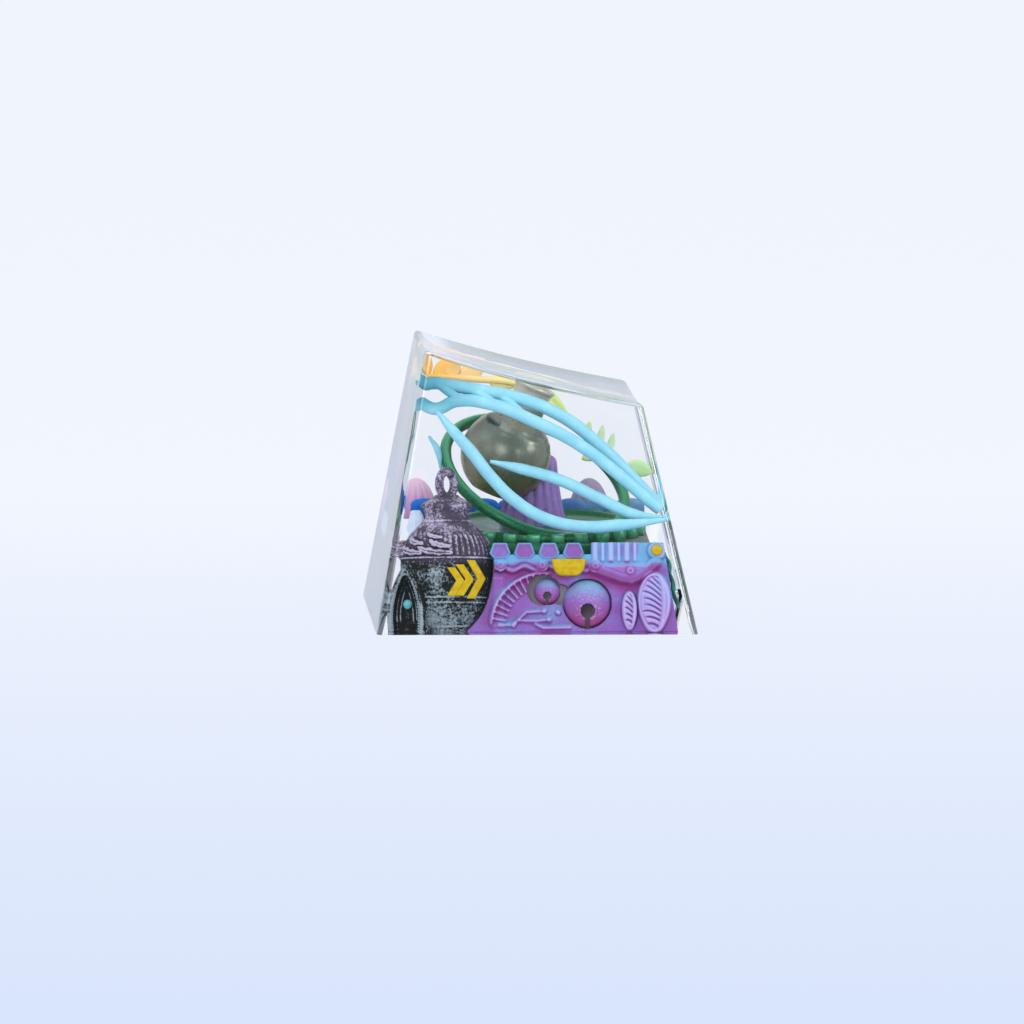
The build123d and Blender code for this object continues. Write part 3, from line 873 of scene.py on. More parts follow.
# the jar: profile as height and radius, bands and grooves as height, depth and width
jar = {
    "axis": -5.1, "sink": 0.25, "flatten": 0.62, "columns": 216, "rows": 200,
    "profile": [
        (0.004, 1.08), (0.3, 1.42), (0.6, 1.74), (1.0, 2.02), (1.47, 2.22), (2.1, 2.43), (3.07, 2.62),
        (3.7, 2.67), (4.2, 2.65), (4.6, 2.6), (5.0, 2.46), (5.4, 2.22), (5.82, 1.86), (6.15, 1.52),
        (6.35, 1.3), (6.55, 1.2), (6.78, 1.25), (7.0, 1.42), (7.14, 1.54), (7.28, 1.53), (7.4, 1.32),
        (7.6, 0.92), (7.8, 0.5),
    ],
    "fluteCount": 46, "fluteDepth": 0.075, "fluteLow": 4.22, "fluteHigh": 5.55,
    "bands": [
        (0.28, 0.05, 0.05), (1.58, 0.05, 0.05), (1.88, 0.06, 0.05), (4.14, 0.09, 0.06), (6.3, 0.05, 0.06)],
    "grooves": [(1.73, 0.05, 0.06), (3.97, 0.09, 0.07), (6.95, 0.05, 0.05)],
    # leaves on the shoulder: turn and height along the spine, then the width
    "leaves": [
        ([(1.52, 4.4), (1.8, 4.42), (2.08, 4.54), (2.3, 4.76)], 0.2),
        ([(1.56, 4.78), (1.75, 4.84), (1.92, 4.98), (2.02, 5.2)], 0.17),
        ([(2.2, 4.42), (2.48, 4.46), (2.74, 4.62), (2.9, 4.88)], 0.2),
        ([(2.2, 4.96), (2.42, 5.02), (2.58, 5.16), (2.66, 5.36)], 0.16),
        ([(2.8, 4.42), (3.05, 4.5), (3.2, 4.68), (3.28, 4.9)], 0.17),
        ([(1.72, 5.3), (1.9, 5.34), (2.06, 5.44), (2.14, 5.58)], 0.12),
    ],
    "leafHeight": 0.17, "leafRadius": 2.2, "volute": (-7.62, 4.62, 0.46), "voluteWire": 0.2,
    "loopRadius": 0.58, "loopHeight": 0.72, "loopWire": 0.25, "loopTurn": 42.0, "crown": 7.72,
}
jarHeights, jarRadii = np.array(jar["profile"]).T


def jarSkin(turn, up, relief=0.0):
    radius = np.interp(up, jarHeights, jarRadii) + relief
    return onNearFace(
        jar["axis"] + radius * np.cos(turn), up, jar["flatten"] * radius * np.sin(turn) - jar["sink"])


def jarRelief(turn, up):
    field = np.zeros(up.shape)
    for height, lift, width in jar["bands"]:
        field += lift * gauss(up, height, width)
    for height, sink, width in jar["grooves"]:
        field -= sink * gauss(up, height, width)
    # flutes on the shoulder, which give way to leaves on the left
    low, high = jar["fluteLow"], jar["fluteHigh"]
    window = smoothStep(low, low + 0.12, up) * (1 - smoothStep(high - 0.2, high, up))
    right = 1 - smoothStep(1.45, 1.75, turn)
    behind = smoothStep(3.4, 3.7, turn)
    wave = np.abs(np.cos(turn * jar["fluteCount"] / 2)) ** 0.7
    field += jar["fluteDepth"] * 2 * (wave - 0.6) * window * np.maximum(right, behind)
    for spine, width in jar["leaves"]:
        route = [(angle * jar["leafRadius"], height) for angle, height in spine]
        away, share = lineDistance(turn * jar["leafRadius"], up, route)
        lobes = 1 + 0.14 * np.cos(22 * share)
        half = width * np.sin(math.pi * np.clip(0.12 + 0.86 * share, 0, 1)) ** 0.6 * lobes
        blade = jar["leafHeight"] * np.sqrt(np.clip(1 - (away / np.maximum(half, 0.02)) ** 2, 0, 1))
        field = np.maximum(field, blade - 0.07 * gauss(away, 0.0, 0.035))
    return field


def jarBody():
    ups = np.linspace(jarHeights[0], jarHeights[-1], jar["rows"])
    turns = np.linspace(0, 2 * math.pi, jar["columns"], endpoint=False)
    turn, up = np.meshgrid(turns, ups)
    relief = jarRelief(turn, up)
    profile = np.interp(up, jarHeights, jarRadii)
    rounding = soften(profile, 30) - profile
    spots = tuckIntoBase(spotList(jarSkin(turn, up, relief + rounding)))
    layers = {"relief": np.clip(edgeLight(relief, 14), 0, 1)}
    return newObject("jarBody", ringMesh("jarBody", spots, jar["columns"], layers))


def jarLoop():
    spin = math.radians(jar["loopTurn"])
    route = []
    for across, rise in circleSpots(12):
        across *= jar["loopRadius"]
        route.append(onNearFace(
            jar["axis"] + across * math.cos(spin), jar["crown"] + jar["loopHeight"] * (1 + rise),
            -jar["sink"] - across * math.sin(spin)))
    return strandPiece("jarLoop", [route], jar["loopWire"], 20, relief=0.52, cyclic=True)


def jarVolute():
    # scroll at the far end of the shoulder
    x, up, reach = jar["volute"]
    coil = []
    for step in range(19):
        angle = math.radians(-60 + 35 * step)
        radius = reach * (1 - 0.75 * step / 18)
        out = -0.1 + 0.2 * step / 18
        coil.append(onNearFace(x + radius * math.cos(angle), up + radius * math.sin(angle), out))
    return strandPiece("jarVolute", [coil], jar["voluteWire"], 16, start=0.05, end=0.05, tip=0.6)


niche = {
    "offset": 2.45, "width": 2.3, "height": 3.9, "foot": 0.004, "turn": 30.0, "front": 0.75, "thickness": 1.2,
    "rim": 0.3, "recess": 0.3, "lines": [0.55, 0.78], "lineHeight": 0.12, "beads": 46, "beadSize": 0.075,
    "gem": (0.02, 1.5, 0.27), "columns": 60, "rows": 96,
}


def nichePlace(across, up, out):
    turn = math.radians(niche["turn"])
    return onNearFace(
        jar["axis"] - niche["offset"] + across * math.cos(turn) - out * math.sin(turn), up,
        niche["front"] + across * math.sin(turn) + out * math.cos(turn))


def nicheArc():
    # the circle through foot, flank and tip of one side of the arch
    (ax, ay), (bx, by), (cx, cy) = (
        (niche["width"] / 2, niche["foot"]),
        (0.47 * niche["width"], niche["foot"] + 0.45 * (niche["height"] - niche["foot"])),
        (0.0, niche["height"]))
    scale = 2 * (ax * (by - cy) + bx * (cy - ay) + cx * (ay - by))
    x = ((ax**2 + ay**2) * (by - cy) + (bx**2 + by**2) * (cy - ay) + (cx**2 + cy**2) * (ay - by)) / scale
    y = ((ax**2 + ay**2) * (cx - bx) + (bx**2 + by**2) * (ax - cx) + (cx**2 + cy**2) * (bx - ax)) / scale
    return x, y, math.hypot(ax - x, ay - y)


def nichePanel():
    x, y, radius = nicheArc()
    rows, columns = niche["rows"], niche["columns"]
    ups = np.linspace(niche["foot"], niche["height"], rows)
    wide = np.maximum(x + np.sqrt(np.maximum(radius**2 - (ups - y) ** 2, 0)), 0.012)
    across = wide[:, None] * np.linspace(-1, 1, columns)[None, :]
    up = np.repeat(ups[:, None], columns, axis=1)
    inside = radius - np.hypot(np.abs(across) - x, up - y)
    height = -niche["recess"] * smoothStep(niche["rim"] * 0.8, niche["rim"] * 1.2, inside)
    height -= 0.1 * (1 - smoothStep(0.0, 0.1, inside))
    for line in niche["lines"]:
        height += niche["lineHeight"] * gauss(inside, line, 0.05) * smoothStep(0.3, 0.7, up)
    front = spotList(nichePlace(across, up, height))
    back = spotList(nichePlace(across, up, -niche["thickness"]))
    relief = edgeLight(height, 12) - 0.22 * smoothStep(niche["rim"], niche["rim"] * 1.4, inside)
    relief = np.clip(relief, 0, 1).ravel()
    layers = {"relief": np.concatenate([relief, np.full(len(back), 0.5)])}
    faces = sheetFaces(np.ones((rows - 1, columns - 1), bool))
    mesh = meshFrom("niche", tuckIntoBase(np.concatenate([front, back])), faces, layers)
    cleanMesh(mesh, 1e-6)
    return newObject("niche", mesh)


def nicheBeads():
    x, y, radius = nicheArc()
    route = []
    for side in (1, -1):
        for share in np.linspace(0.02, 0.98, 12)[::side]:
            high = niche["foot"] + share * (niche["height"] - niche["foot"])
            reach = x + math.sqrt(radius**2 - (high - y) ** 2) - niche["rim"] - 0.02
            if reach > 0.05:
                route.append(nichePlace(side * reach, high, -0.06))
    beads = {"Count": niche["beads"], "Size": niche["beadSize"] * mm}
    return useTree(curveObject("nicheBeads", [route]), beadsOnPath, beads)


def nicheGem():
    # round painted boss in the niche
    across, up, radius = niche["gem"]
    rings = [(1.0, -0.06), (1.0, 0.036), (0.9, 0.096), (0.62, 0.156), (0.3, 0.186), (0.03, 0.192)]

    def place(x, y, rise):
        return nichePlace(across + x, up + y, rise - niche["recess"])
    rings = [(radius * wide, rise) for wide, rise in rings]
    return newObject("nicheGem", latheMesh("nicheGem", rings, place, 40))


def pewterMaterial():
    material, tree, _ = grainMaterial("pewter", 5000.0, 0.5, 0.03, (0.35, 0.65), metallic=0.15)
    shoulder = objectAxis(tree, 2, 3.9, 4.3)
    left = objectAxis(tree, 0, -2.6, -5.6)
    foot = objectAxis(tree, 2, 1.5, 0.6)
    amount = times(tree, objectNoise(tree, 900.0, 2.0), 0.7)
    for share, gain in ((left, 0.14), (foot, 0.16), (shoulder, 0.02)):
        amount = calc(tree, "ADD", amount, times(tree, share, gain))
    brushed = useGroup(tree, dryBrush, {
        "Ground": blend(tree, shoulder, paint(15, 21, 23), paint(74, 66, 84)),
        "Light": blend(tree, shoulder, paint(146, 162, 170), paint(182, 172, 198)),
        "Wash": blend(tree, shoulder, paint(8, 12, 13), paint(22, 18, 26)),
        "Relief": layer(tree, "relief"), "Stipple Scale": 7000.0, "Amount": amount,
    })
    return colourBy(material, brushed["Color"])


jarParts = [jarBody(), jarLoop(), jarVolute(), nichePanel(), nicheBeads()]
finishPiece(joinPieces("pewterJar", jarParts), [pewterMaterial()], ["pewter_jar"])
gemPaint = twoTone("gemPaint", 4000.0, 0.3, 0.02, (0.25, 0.5), (60, 140, 150), (120, 196, 200))
finishPiece(nicheGem(), [gemPaint])
print("jar made")


# stripes painted on the belly: left end, top, bottom and reach
chevrons = {
    "marks": [(-5.16, 3.55, 1.94, 0.98), (-4.68, 3.72, 1.95, 1.03), (-4.05, 3.98, 1.8, 1.08)],
    "width": 0.46, "proud": 0.03, "thickness": 0.08, "steps": 14, "columns": 7,
}


def jarChevrons():
    points = []
    faces = []
    for left, top, bottom, reach in chevrons["marks"]:
        middle = (top + bottom) / 2 + 0.05
        ups = np.linspace(top, bottom, 2 * chevrons["steps"] + 1)
        first = len(points)
        for up in ups:
            half = (top - middle) if up > middle else (middle - bottom)
            edge = left + (reach - chevrons["width"]) * (1 - abs(up - middle) / half)
            radius = float(np.interp(up, jarHeights, jarRadii))
            for share in np.linspace(0, 1, chevrons["columns"]):
                x = edge + share * chevrons["width"]
                turn = math.acos(max(-0.98, min(0.98, (x - jar["axis"]) / radius)))
                points.append(jarSkin(turn, up, chevrons["proud"]))
        grid = gridFaces(len(ups), chevrons["columns"])
        faces += [tuple(first + index for index in face) for face in grid]
    piece = newObject("jarChevrons", meshFrom("jarChevrons", points, faces))
    thick = piece.modifiers.new("paintThickness", "SOLIDIFY")
    thick.thickness = chevrons["thickness"] * mm
    thick.offset = 0.0
    piece = plainMesh(piece)
    cleanMesh(piece.data)
    return piece


def yellowMaterial():
    material, tree, mask = grainMaterial("yellowPaint", 4000.0, 0.3, 0.02, (0.35, 0.6))
    tones = [(0.3, (186, 152, 12)), (0.5, (200, 167, 16)), (0.75, (212, 182, 34))]
    return colourBy(material, ramp(tree, mask, tones))


yellow = yellowMaterial()
finishPiece(jarChevrons(), [yellow])
print("jar marks made")


# the carved wall, in the plane of the near face: across, up the slope, and heights out of it
wall = {
    "left": -4.4, "right": 8.1, "lean": 0.8, "foot": 0.004, "top": 4.36,
    "step": 0.042, "panel": 0.5, "back": -0.12,
    "parapetStart": 3.1, "parapetEnd": 5.85, "parapetRight": 8.0, "parapetTop": 5.0,
    "cornice": (3.42, 4.36, 0.85), "scallop": 0.12,
    "swag": [(3.2, 3.62), (4.1, 3.3), (4.9, 3.02), (5.4, 2.95), (5.9, 3.15), (6.4, 3.55), (6.8, 3.95)],
    "swagWidth": 0.34, "swagHeight": 0.95, "foldHeight": 0.42,
    "bosses": [(-2.08, 3.72), (0.32, 3.7), (3.36, 3.66), (5.36, 3.38)],
    "bossRadius": 0.36, "bossHeight": 1.08,
    "flutes": 6, "fluteWidth": 0.13, "fluteRise": 0.25,
    "arch": (0.5, 0.12, 3.15), "archWidth": 0.12, "archHeight": 0.84,
    "ribs": 11, "ribLength": 0.8, "ribWidth": 0.06, "ribHeight": 0.2, "ribStart": 96.0, "ribSpan": 74.0,
    "traces": [
        [(-2.2, 0.35), (-1.35, 0.32), (-0.6, 1.02), (0.42, 1.08)], [(-1.0, 0.55), (0.0, 0.52), (0.68, 0.6)],
        [(-0.1, 0.38), (0.35, 0.2), (1.9, 0.22)], [(1.18, 1.02), (1.24, 0.98)],
    ],
    "traceWidth": 0.075, "traceHeight": 0.19,
    "traceEnds": [(0.42, 1.08), (0.72, 0.6), (1.21, 1.0), (-1.3, 0.35)], "endRadius": 0.14,
    # middle, half width, half height and number of cuts
    "fans": [(6.72, 1.62, 0.98, 1.75, 11), (5.3, 1.15, 0.45, 1.1, 7)], "fanHeight": 0.95,
    "pilaster": (-2.22, 0.36, 3.25), "mount": 0.62, "mountHeight": 0.95, "slopeLightFromAbove": 0.3, "pale": 0.26,
    "recess": [(0.34, 2.3, 0.86), (1.36, 2.05, 0.56)],
}
bells = {
    "small": (0.6, 2.24, 0.78), "large": (2.89, 1.55, 1.4), "sink": 0.15, "tuck": 0.1, "gap": 0.02,
    "slot": 0.3, "narrow": 0.03,
}
merlon = {
    "width": 1.2, "height": 0.88, "end": 0.74, "shoulder": 0.14, "rise": 0.18, "depth": 0.98,
    "first": -2.1, "pitch": 1.4, "count": 4,
}
inlay = {"cup": (1.83, 4.05, 1.9, 0.95, 1.16), "stud": (6.87, 4.55, 0.31, 1.12)}


def raised(share, height):
    # from the plain panel up to a height
    return wall["panel"] + (height - wall["panel"]) * share


def addArch(x, up, height, level):
    # painted shade in the hollow behind the quarter arch, then the arch and its ribs
    cx, cy, radius = wall["arch"]
    away = np.hypot(x - cx, up - cy)
    turn = np.degrees(np.arctan2(up - cy, x - cx))
    sector = smoothStep(80, 92, turn) * (1 - smoothStep(172, 180, turn))
    within = sector * (1 - smoothStep(radius - 0.1, radius, away))
    level = level - 0.22 * within * smoothStep(radius - 1.2, radius - 0.5, away)
    height = np.maximum(height, raised(gauss(away, radius, wall["archWidth"]) * sector, wall["archHeight"]))
    pitch = wall["ribSpan"] / (wall["ribs"] - 1)
    slot = (turn - wall["ribStart"]) / pitch
    rib = gauss((slot - np.round(slot)) * math.radians(pitch) * away, 0.0, wall["ribWidth"])
    end = radius - wall["ribLength"]
    return height + wall["ribHeight"] * rib * smoothStep(end - 0.1, end, away) * within, level


def addTraces(x, up, height):
    # upright pilaster beside the jar, then fine traces with round ends
    px, width, top = wall["pilaster"]
    height = height + 0.22 * gauss(x, px, width, 4) * (1 - smoothStep(top - 0.3, top, up))
    for route in wall["traces"]:
        height += wall["traceHeight"] * gauss(lineDistance(x, up, route)[0], 0.0, wall["traceWidth"])
    for ex, ey in wall["traceEnds"]:
        ring = np.hypot(x - ex, up - ey)
        height += 0.2 * gauss(ring, 0.0, wall["endRadius"], 4)
        height -= 0.14 * gauss(ring, 0.0, 0.4 * wall["endRadius"])
    return height


def addFans(x, up, height, level, pale):
    # fans: a domed leaf with a spine up its far side and cuts that sweep down to it
    for fx, fy, wide, tall, cuts in wall["fans"]:
        side, lift = (x - fx) / wide, (up - fy) / tall
        share = np.hypot(side, lift)
        sweep = (lift + (0.34 + 0.25 * lift) * side + 0.3 * side**2) * cuts / 2
        bent = side + 0.25 * lift**2
        thin = 0.1 + 0.09 * smoothStep(-0.7, 0.3, side)
        cut = gauss(sweep, np.round(sweep), thin) * (1 - smoothStep(0.72, 0.86, share))
        cut *= smoothStep(-0.8, -0.3, side + 0.12 * np.sin(2.3 * np.round(sweep)))
        cut *= 1 - smoothStep(0.3, 0.48, bent)
        rim = 1 - smoothStep(0.86, 1.02, share)
        spine = 0.08 * gauss(bent, 0.58, 0.09) - 0.1 * gauss(share, 0.82, 0.04) * (bent < 0.4)
        body = raised(rim, wall["fanHeight"]) + (spine - 0.16 * cut) * rim
        inside = share < 1.02
        height = np.where(inside, np.maximum(height, body), height)
        # painted shade in the cuts; the fan is also lighter towards its top and paler outside the cuts
        level = np.where(inside, 0.6 - 0.3 * cut + 0.12 * lift, level)
        pale = np.where(inside, wall["pale"] * (1 - cut), pale)
    return height, level, pale


def addCornice(x, up, height):
    # scalloped moulding under the merlons, as far as the parapet
    low, high, depth = wall["cornice"]
    low = low + wall["scallop"] * np.cos((x - merlon["first"]) * 2 * math.pi / merlon["pitch"])
    share = smoothStep(low - 0.12, low + 0.1, up)
    share *= 1 - smoothStep(wall["parapetStart"], wall["parapetStart"] + 0.15, x)
    ridge = depth - 0.12 * gauss(up, low + 0.28, 0.07) - 0.08 * smoothStep(high - 0.12, high, up)
    return height * (1 - share) + np.maximum(height, ridge) * share


def addSwag(x, up, height, pale):
    # hanging roll, with a soft fold above it
    roll = gauss(lineDistance(x, up, wall["swag"])[0], 0.0, wall["swagWidth"], 4)
    height = np.maximum(height, raised(roll, wall["swagHeight"]))
    xs, ups = zip(*wall["swag"])
    between = (x > xs[0]) & (x < xs[-1])
    fold = smoothStep(-0.15, 0.3, up - np.interp(x, xs, ups)) * (1 - 0.55 * smoothStep(3.6, 3.95, up))
    height = np.where(between, np.maximum(height, wall["panel"] + wall["foldHeight"] * fold), height)
    # painted highlight on the upper slope of the fold
    return height, pale + 0.4 * wall["pale"] * fold * between * (1 - smoothStep(3.7, 4.0, up))


def addParapet(x, up, height, level, pale):
    # upright flutes of uneven width
    start, end = wall["parapetStart"], wall["parapetEnd"]
    pitch = (end - start) / wall["flutes"]
    slot = (x - start) / pitch - 0.5
    vary = np.sin(3.1 * np.round(slot) + 1.0)
    width = wall["fluteWidth"] * (1 + 0.35 * vary)
    bar = gauss((slot - np.round(slot)) * pitch, 0.0, width, 4) * (0.75 + 0.25 * vary)
    window = smoothStep(start + 0.02, start + 0.1, x) * (1 - smoothStep(end - 0.05, end + 0.1, x))
    window *= smoothStep(3.85, 4.0, up)
    # painted shade in the slots between the flutes
    level = level - 0.25 * (1 - bar) * window * smoothStep(4.1, 4.3, up) * (1 - smoothStep(4.85, 4.95, up))
    return height + wall["fluteRise"] * bar * window, level, pale + 0.7 * wall["pale"] * window


def addBosses(x, up, height, level):
    # round mount of the stud, then the bosses with their rings
    away = np.hypot(x - inlay["stud"][0], up - inlay["stud"][1])
    mount = wall["mountHeight"] - 0.45 * smoothStep(0.7 * wall["mount"], wall["mount"], away)
    height = np.maximum(height, mount)
    for bx, by in wall["bosses"]:
        ring = np.hypot(x - bx, up - by)
        dome = wall["bossHeight"] - 0.2 * (ring / wall["bossRadius"]) ** 2
        dome -= 0.1 * gauss(ring, 0.0, 0.12) + 0.07 * gauss(ring, 0.24, 0.04)
        inside = ring < wall["bossRadius"]
        height = np.where(inside, np.maximum(height, dome), height)
        level = np.where(inside, 0.36, level)
    return height, level


def mistAndShadeLevel(x, up, height, level):
    # sky along the top; painted shade under the cornice and the swag
    level = level + 0.62 * smoothStep(3.55, 4.15, up)
    level += 0.1 * smoothStep(5.0, 7.0, x) * smoothStep(0.2, 1.4, up)
    level -= 0.34 * gauss(up, 3.15, 0.32) * (1 - smoothStep(1.2, 2.4, x))
    level -= 0.5 * gauss(lineDistance(x, up + 0.46, wall["swag"])[0], 0.0, 0.35)
    level += 0.22 * gauss(x, 0.9, 1.0) * gauss(up, 0.9, 0.7)
    level += 0.25 * gauss(x, -1.9, 0.8) * gauss(up, 0.3, 0.5)
    # painted light from above: slopes that face up are lighter and bluer, slopes that face down darker and
    # deeper magenta
    slope = np.gradient(soften(height, 2), wall["step"], axis=0)
    return level - wall["slopeLightFromAbove"] * np.clip(slope, -1.0, 1.0)


def wallField(x, up):
    height = wall["panel"] + 0.03 * np.sin(x * 2.1 + 0.7) * np.sin(up * 2.7 + 0.4)
    level = np.full(x.shape, 0.46)
    pale = np.zeros(x.shape)
    height, level = addArch(x, up, height, level)
    height = addTraces(x, up, height)
    height, level, pale = addFans(x, up, height, level, pale)
    height = addCornice(x, up, height)
    height, pale = addSwag(x, up, height, pale)
    height, level, pale = addParapet(x, up, height, level, pale)
    height, level = addBosses(x, up, height, level)
    return height, mistAndShadeLevel(x, up, height, level), pale


def wallPanel():
    xs = np.arange(wall["left"], wall["right"] + wall["step"], wall["step"])
    ups = np.arange(wall["foot"], wall["parapetTop"] + 0.5 * wall["step"], wall["step"])
    x, up = np.meshgrid(xs, ups)
    height, level, pale = wallField(x, up)
    height = soften(height, 1)
    end = wall["right"] - wall["lean"] * up / wall["parapetTop"]
    start = jar["axis"] + np.interp(up, jarHeights, jarRadii)
    inParapet = (x >= wall["parapetStart"]) & (x < wall["parapetRight"])
    keep = (x > start - wall["step"]) & (x <= end) & ((up <= wall["top"]) | inParapet)
    x = np.maximum(x, start)
    backX, backUp = x, up
    openings = [(*bells["small"], 0.0), (*bells["large"], bells["narrow"])]
    openings += [(*recess, 0.0) for recess in wall["recess"]]
    for bx, by, radius, narrow in openings:
        # the large opening narrows towards the front, as its ball does
        away = np.hypot(x - bx, up - by)
        keep &= away > radius - narrow + bells["gap"]
        push = 1 + narrow * gauss(away, radius - narrow, 0.3) / np.maximum(away, 0.1)
        backX, backUp = bx + (backX - bx) * push, by + (backUp - by) * push
    front = spotList(onNearFace(x, up, height))
    back = spotList(onNearFace(backX, np.maximum(backUp, wall["foot"]), wall["back"]))
    kept = keep[:-1, :-1] & keep[1:, :-1] & keep[:-1, 1:] & keep[1:, 1:]
    # relief carries the painted highlight on ridges and pale areas and the painted shade in hollows
    relief = np.clip(edgeLight(height, 10) + pale, 0, 1)
    layers = {"level": np.tile(level.ravel(), 2), "relief": np.tile(relief.ravel(), 2)}
    mesh = meshFrom("wallPanel", np.concatenate([front, back]), sheetFaces(kept), layers)
    cleanMesh(mesh)
    return newObject("wallPanel", mesh)


def merlonRow():
    wide, tall, end = merlon["width"] / 2, merlon["height"] / 2, merlon["end"] / 2
    low = -merlon["shoulder"]
    outline = [(-end, -tall), (end, -tall), (wide, low), (end, tall), (-end, tall), (-wide, low)]

    def place(x, up, out):
        return onNearFace(merlon["first"] + x, wall["top"] + merlon["rise"] + up, out)
    mesh = slabMesh("merlons", outline, wall["back"], merlon["depth"], place, 0.07, panel=0.44)
    block = newObject("merlons", mesh, smooth=False)
    return useTree(block, rowOfCopies, {"Count": merlon["count"], "Step": (merlon["pitch"] * mm, 0.0, 0.0)})


def wallMaterial():
    material, tree, _ = grainMaterial("wallPaint", 4500.0, 0.25, 0.02, (0.45, 0.7))
    misted = useGroup(tree, airbrush, {
        "Deep": paint(140, 54, 128), "Middle": paint(136, 98, 178), "High": paint(108, 168, 212),
        "Level": layer(tree, "level"), "Mist Scale": 650.0, "Mist": 0.75,
    })
    relief = layer(tree, "relief")
    # painted shade: hollows darken towards deep purple
    tone = blend(tree, past(tree, 0.46, relief, 1.8), misted["Color"], paint(84, 34, 96))
    # painted highlight: ridges and pale areas lighten towards lilac
    ridge = times(tree, past(tree, relief, 0.56, 2.6), 0.8)
    return colourBy(material, blend(tree, ridge, tone, paint(196, 182, 236)))


wallParts = [wallPanel(), merlonRow()]
finishPiece(joinPieces("carvedWall", wallParts), [wallMaterial()], ["carved_wall"])
print("wall made")


def bellBall(name):
    x, up, radius = bells[name]
    work = bmesh.new()
    bmesh.ops.create_uvsphere(work, u_segments=88, v_segments=64, radius=1.0)
    flat = (bells["sink"] - bells["tuck"]) / radius
    everything = work.verts[:] + work.edges[:] + work.faces[:]
    bmesh.ops.bisect_plane(work, geom=everything, plane_co=(0, 0, flat), plane_no=(0, 0, 1), clear_inner=True)
    bmesh.ops.holes_fill(work, edges=[edge for edge in work.edges if edge.is_boundary])
    for vert in work.verts:
        px, py, pz = vert.co
        # a rolled lip round the keyhole
        ring = math.hypot(px, py + 0.33) - bells["slot"]
        swell = radius * (1 + 0.04 * math.exp(-((ring - 0.05) / 0.06) ** 2) * (pz > 0.3))
        vert.co = Vector(onNearFace(x + px * swell, up + py * swell, pz * swell - bells["sink"])) * mm
    mesh = bpy.data.meshes.new(name)
    work.to_mesh(mesh)
    work.free()
    cleanMesh(mesh)
    ball = newObject(name + "Bell", mesh)
    hole = bells["slot"] * radius
    middle, low = up - radius / 3, up - 1.2 * radius
    left, right = x - 0.3 * hole, x + 0.3 * hole
    circle = circleSpots(32, hole, x, middle)
    slit = [(left, low), (right, low), (right, middle), (left, middle)]
    for outline in (circle, slit):
        points = [onNearFace(px, py, out) for out in (-2 * radius, 2 * radius) for px, py in outline]
        ball = carve(ball, newObject("keyhole", ringMesh("keyhole", points, len(outline)), smooth=False))
    for face in ball.data.polygons:
        face.use_smooth = len(face.vertices) == 4
    return ball


def bellMaterial(name):
    x, up, radius = bells[name]
    material, tree, _ = grainMaterial(name + "BellPaint", 5000.0, 0.3, 0.02, (0.35, 0.6))
    low = onNearFace(x, up - 0.9 * radius, radius)[2]
    high = onNearFace(x, up + 1.1 * radius, 0.3 * radius)[2]
    misted = useGroup(tree, airbrush, {
        "Deep": paint(166, 68, 132), "Middle": paint(144, 102, 178), "High": paint(124, 192, 228),
        "Level": objectAxis(tree, 2, low, high), "Mist Scale": 500.0, "Mist": 0.25, "Speckle Scale": 8000.0,
    })
    # light speckles round the keyhole
    keyhole = tuple(value * mm for value in onNearFace(x, up - radius / 3, 0.8 * radius))
    place = addNode(tree, "ShaderNodeTexCoord").outputs["Object"]
    away = addNode(tree, "ShaderNodeVectorMath", {"operation": "DISTANCE"}, {0: place, 1: keyhole})
    near = addNode(tree, "ShaderNodeMapRange", {"clamp": True}, {
        "Value": away.outputs["Value"], "From Min": 0.95 * radius * mm, "From Max": 0.4 * radius * mm,
        "To Min": 0.0, "To Max": 0.2,
    }).outputs[0]
    dots = past(tree, calc(tree, "ADD", objectNoise(tree, 9000.0, 1.0), near), 0.74, 7.0)
    return colourBy(material, blend(tree, times(tree, dots, 0.6), misted["Color"], paint(200, 168, 216)))


for bellName in ("small", "large"):
    finishPiece(bellBall(bellName), [bellMaterial(bellName)], [bellName + "_bell"])
print("bells made")


def yellowInlays():
    # half-moon cup under the cornice and round stud on the parapet
    x, top, width, drop, depth = inlay["cup"]
    flank = []
    for step in range(9):
        angle = math.pi / 2 * step / 8
        reach = width * (0.5 - 0.3 * (1 - math.cos(angle)))
        flank.append((reach, top - 0.15 - (drop - 0.15) * math.sin(angle)))
    outline = [(x + width / 2, top), (x - width / 2, top)]
    outline += [(x - reach, up) for reach, up in flank] + [(x + reach, up) for reach, up in reversed(flank)]
    cup = newObject("cup", slabMesh("cup", outline, 0.0, depth, onNearFace, 0.12))
    sx, sy, radius, high = inlay["stud"]
    stud = newObject("stud", slabMesh("stud", circleSpots(32, radius, sx, sy), 0.0, high, onNearFace, 0.1))
    return joinPieces("yellowInlays", [cup, stud])


finishPiece(yellowInlays(), [yellow], ["yellow_inlays"])
print("inlays made")


# tilted hoop, toothed plate on the deck and the rack along its near edge
hoop = {
    "radius": 5.48, "wire": 0.33, "centre": (0.2, -0.4, 7.85), "pitch": 27.4, "roll": 18.3,
    "plate": 5.6, "plateX": 0.6, "thickness": 0.65, "dip": 0.2, "teeth": 26, "tooth": (0.4, 0.9),
    "rack": (-2.8, 3.1, 4.05, 4.86, 0.34),
}
hoop["low"], hoop["high"] = stem["deck"] - 0.05, stem["deck"] + hoop["thickness"]


def hoopBand():
    turn = Matrix.Rotation(math.radians(hoop["pitch"]), 3, "X")
    turn = turn @ Matrix.Rotation(math.radians(hoop["roll"]), 3, "Y")
    spots = [turn @ Vector((x, y, 0)) * hoop["radius"] for x, y in circleSpots(24)]
    route = [Vector(hoop["centre"]) + spot for spot in spots]
    return strandPiece("hoop", [route], hoop["wire"], 18, cyclic=True)


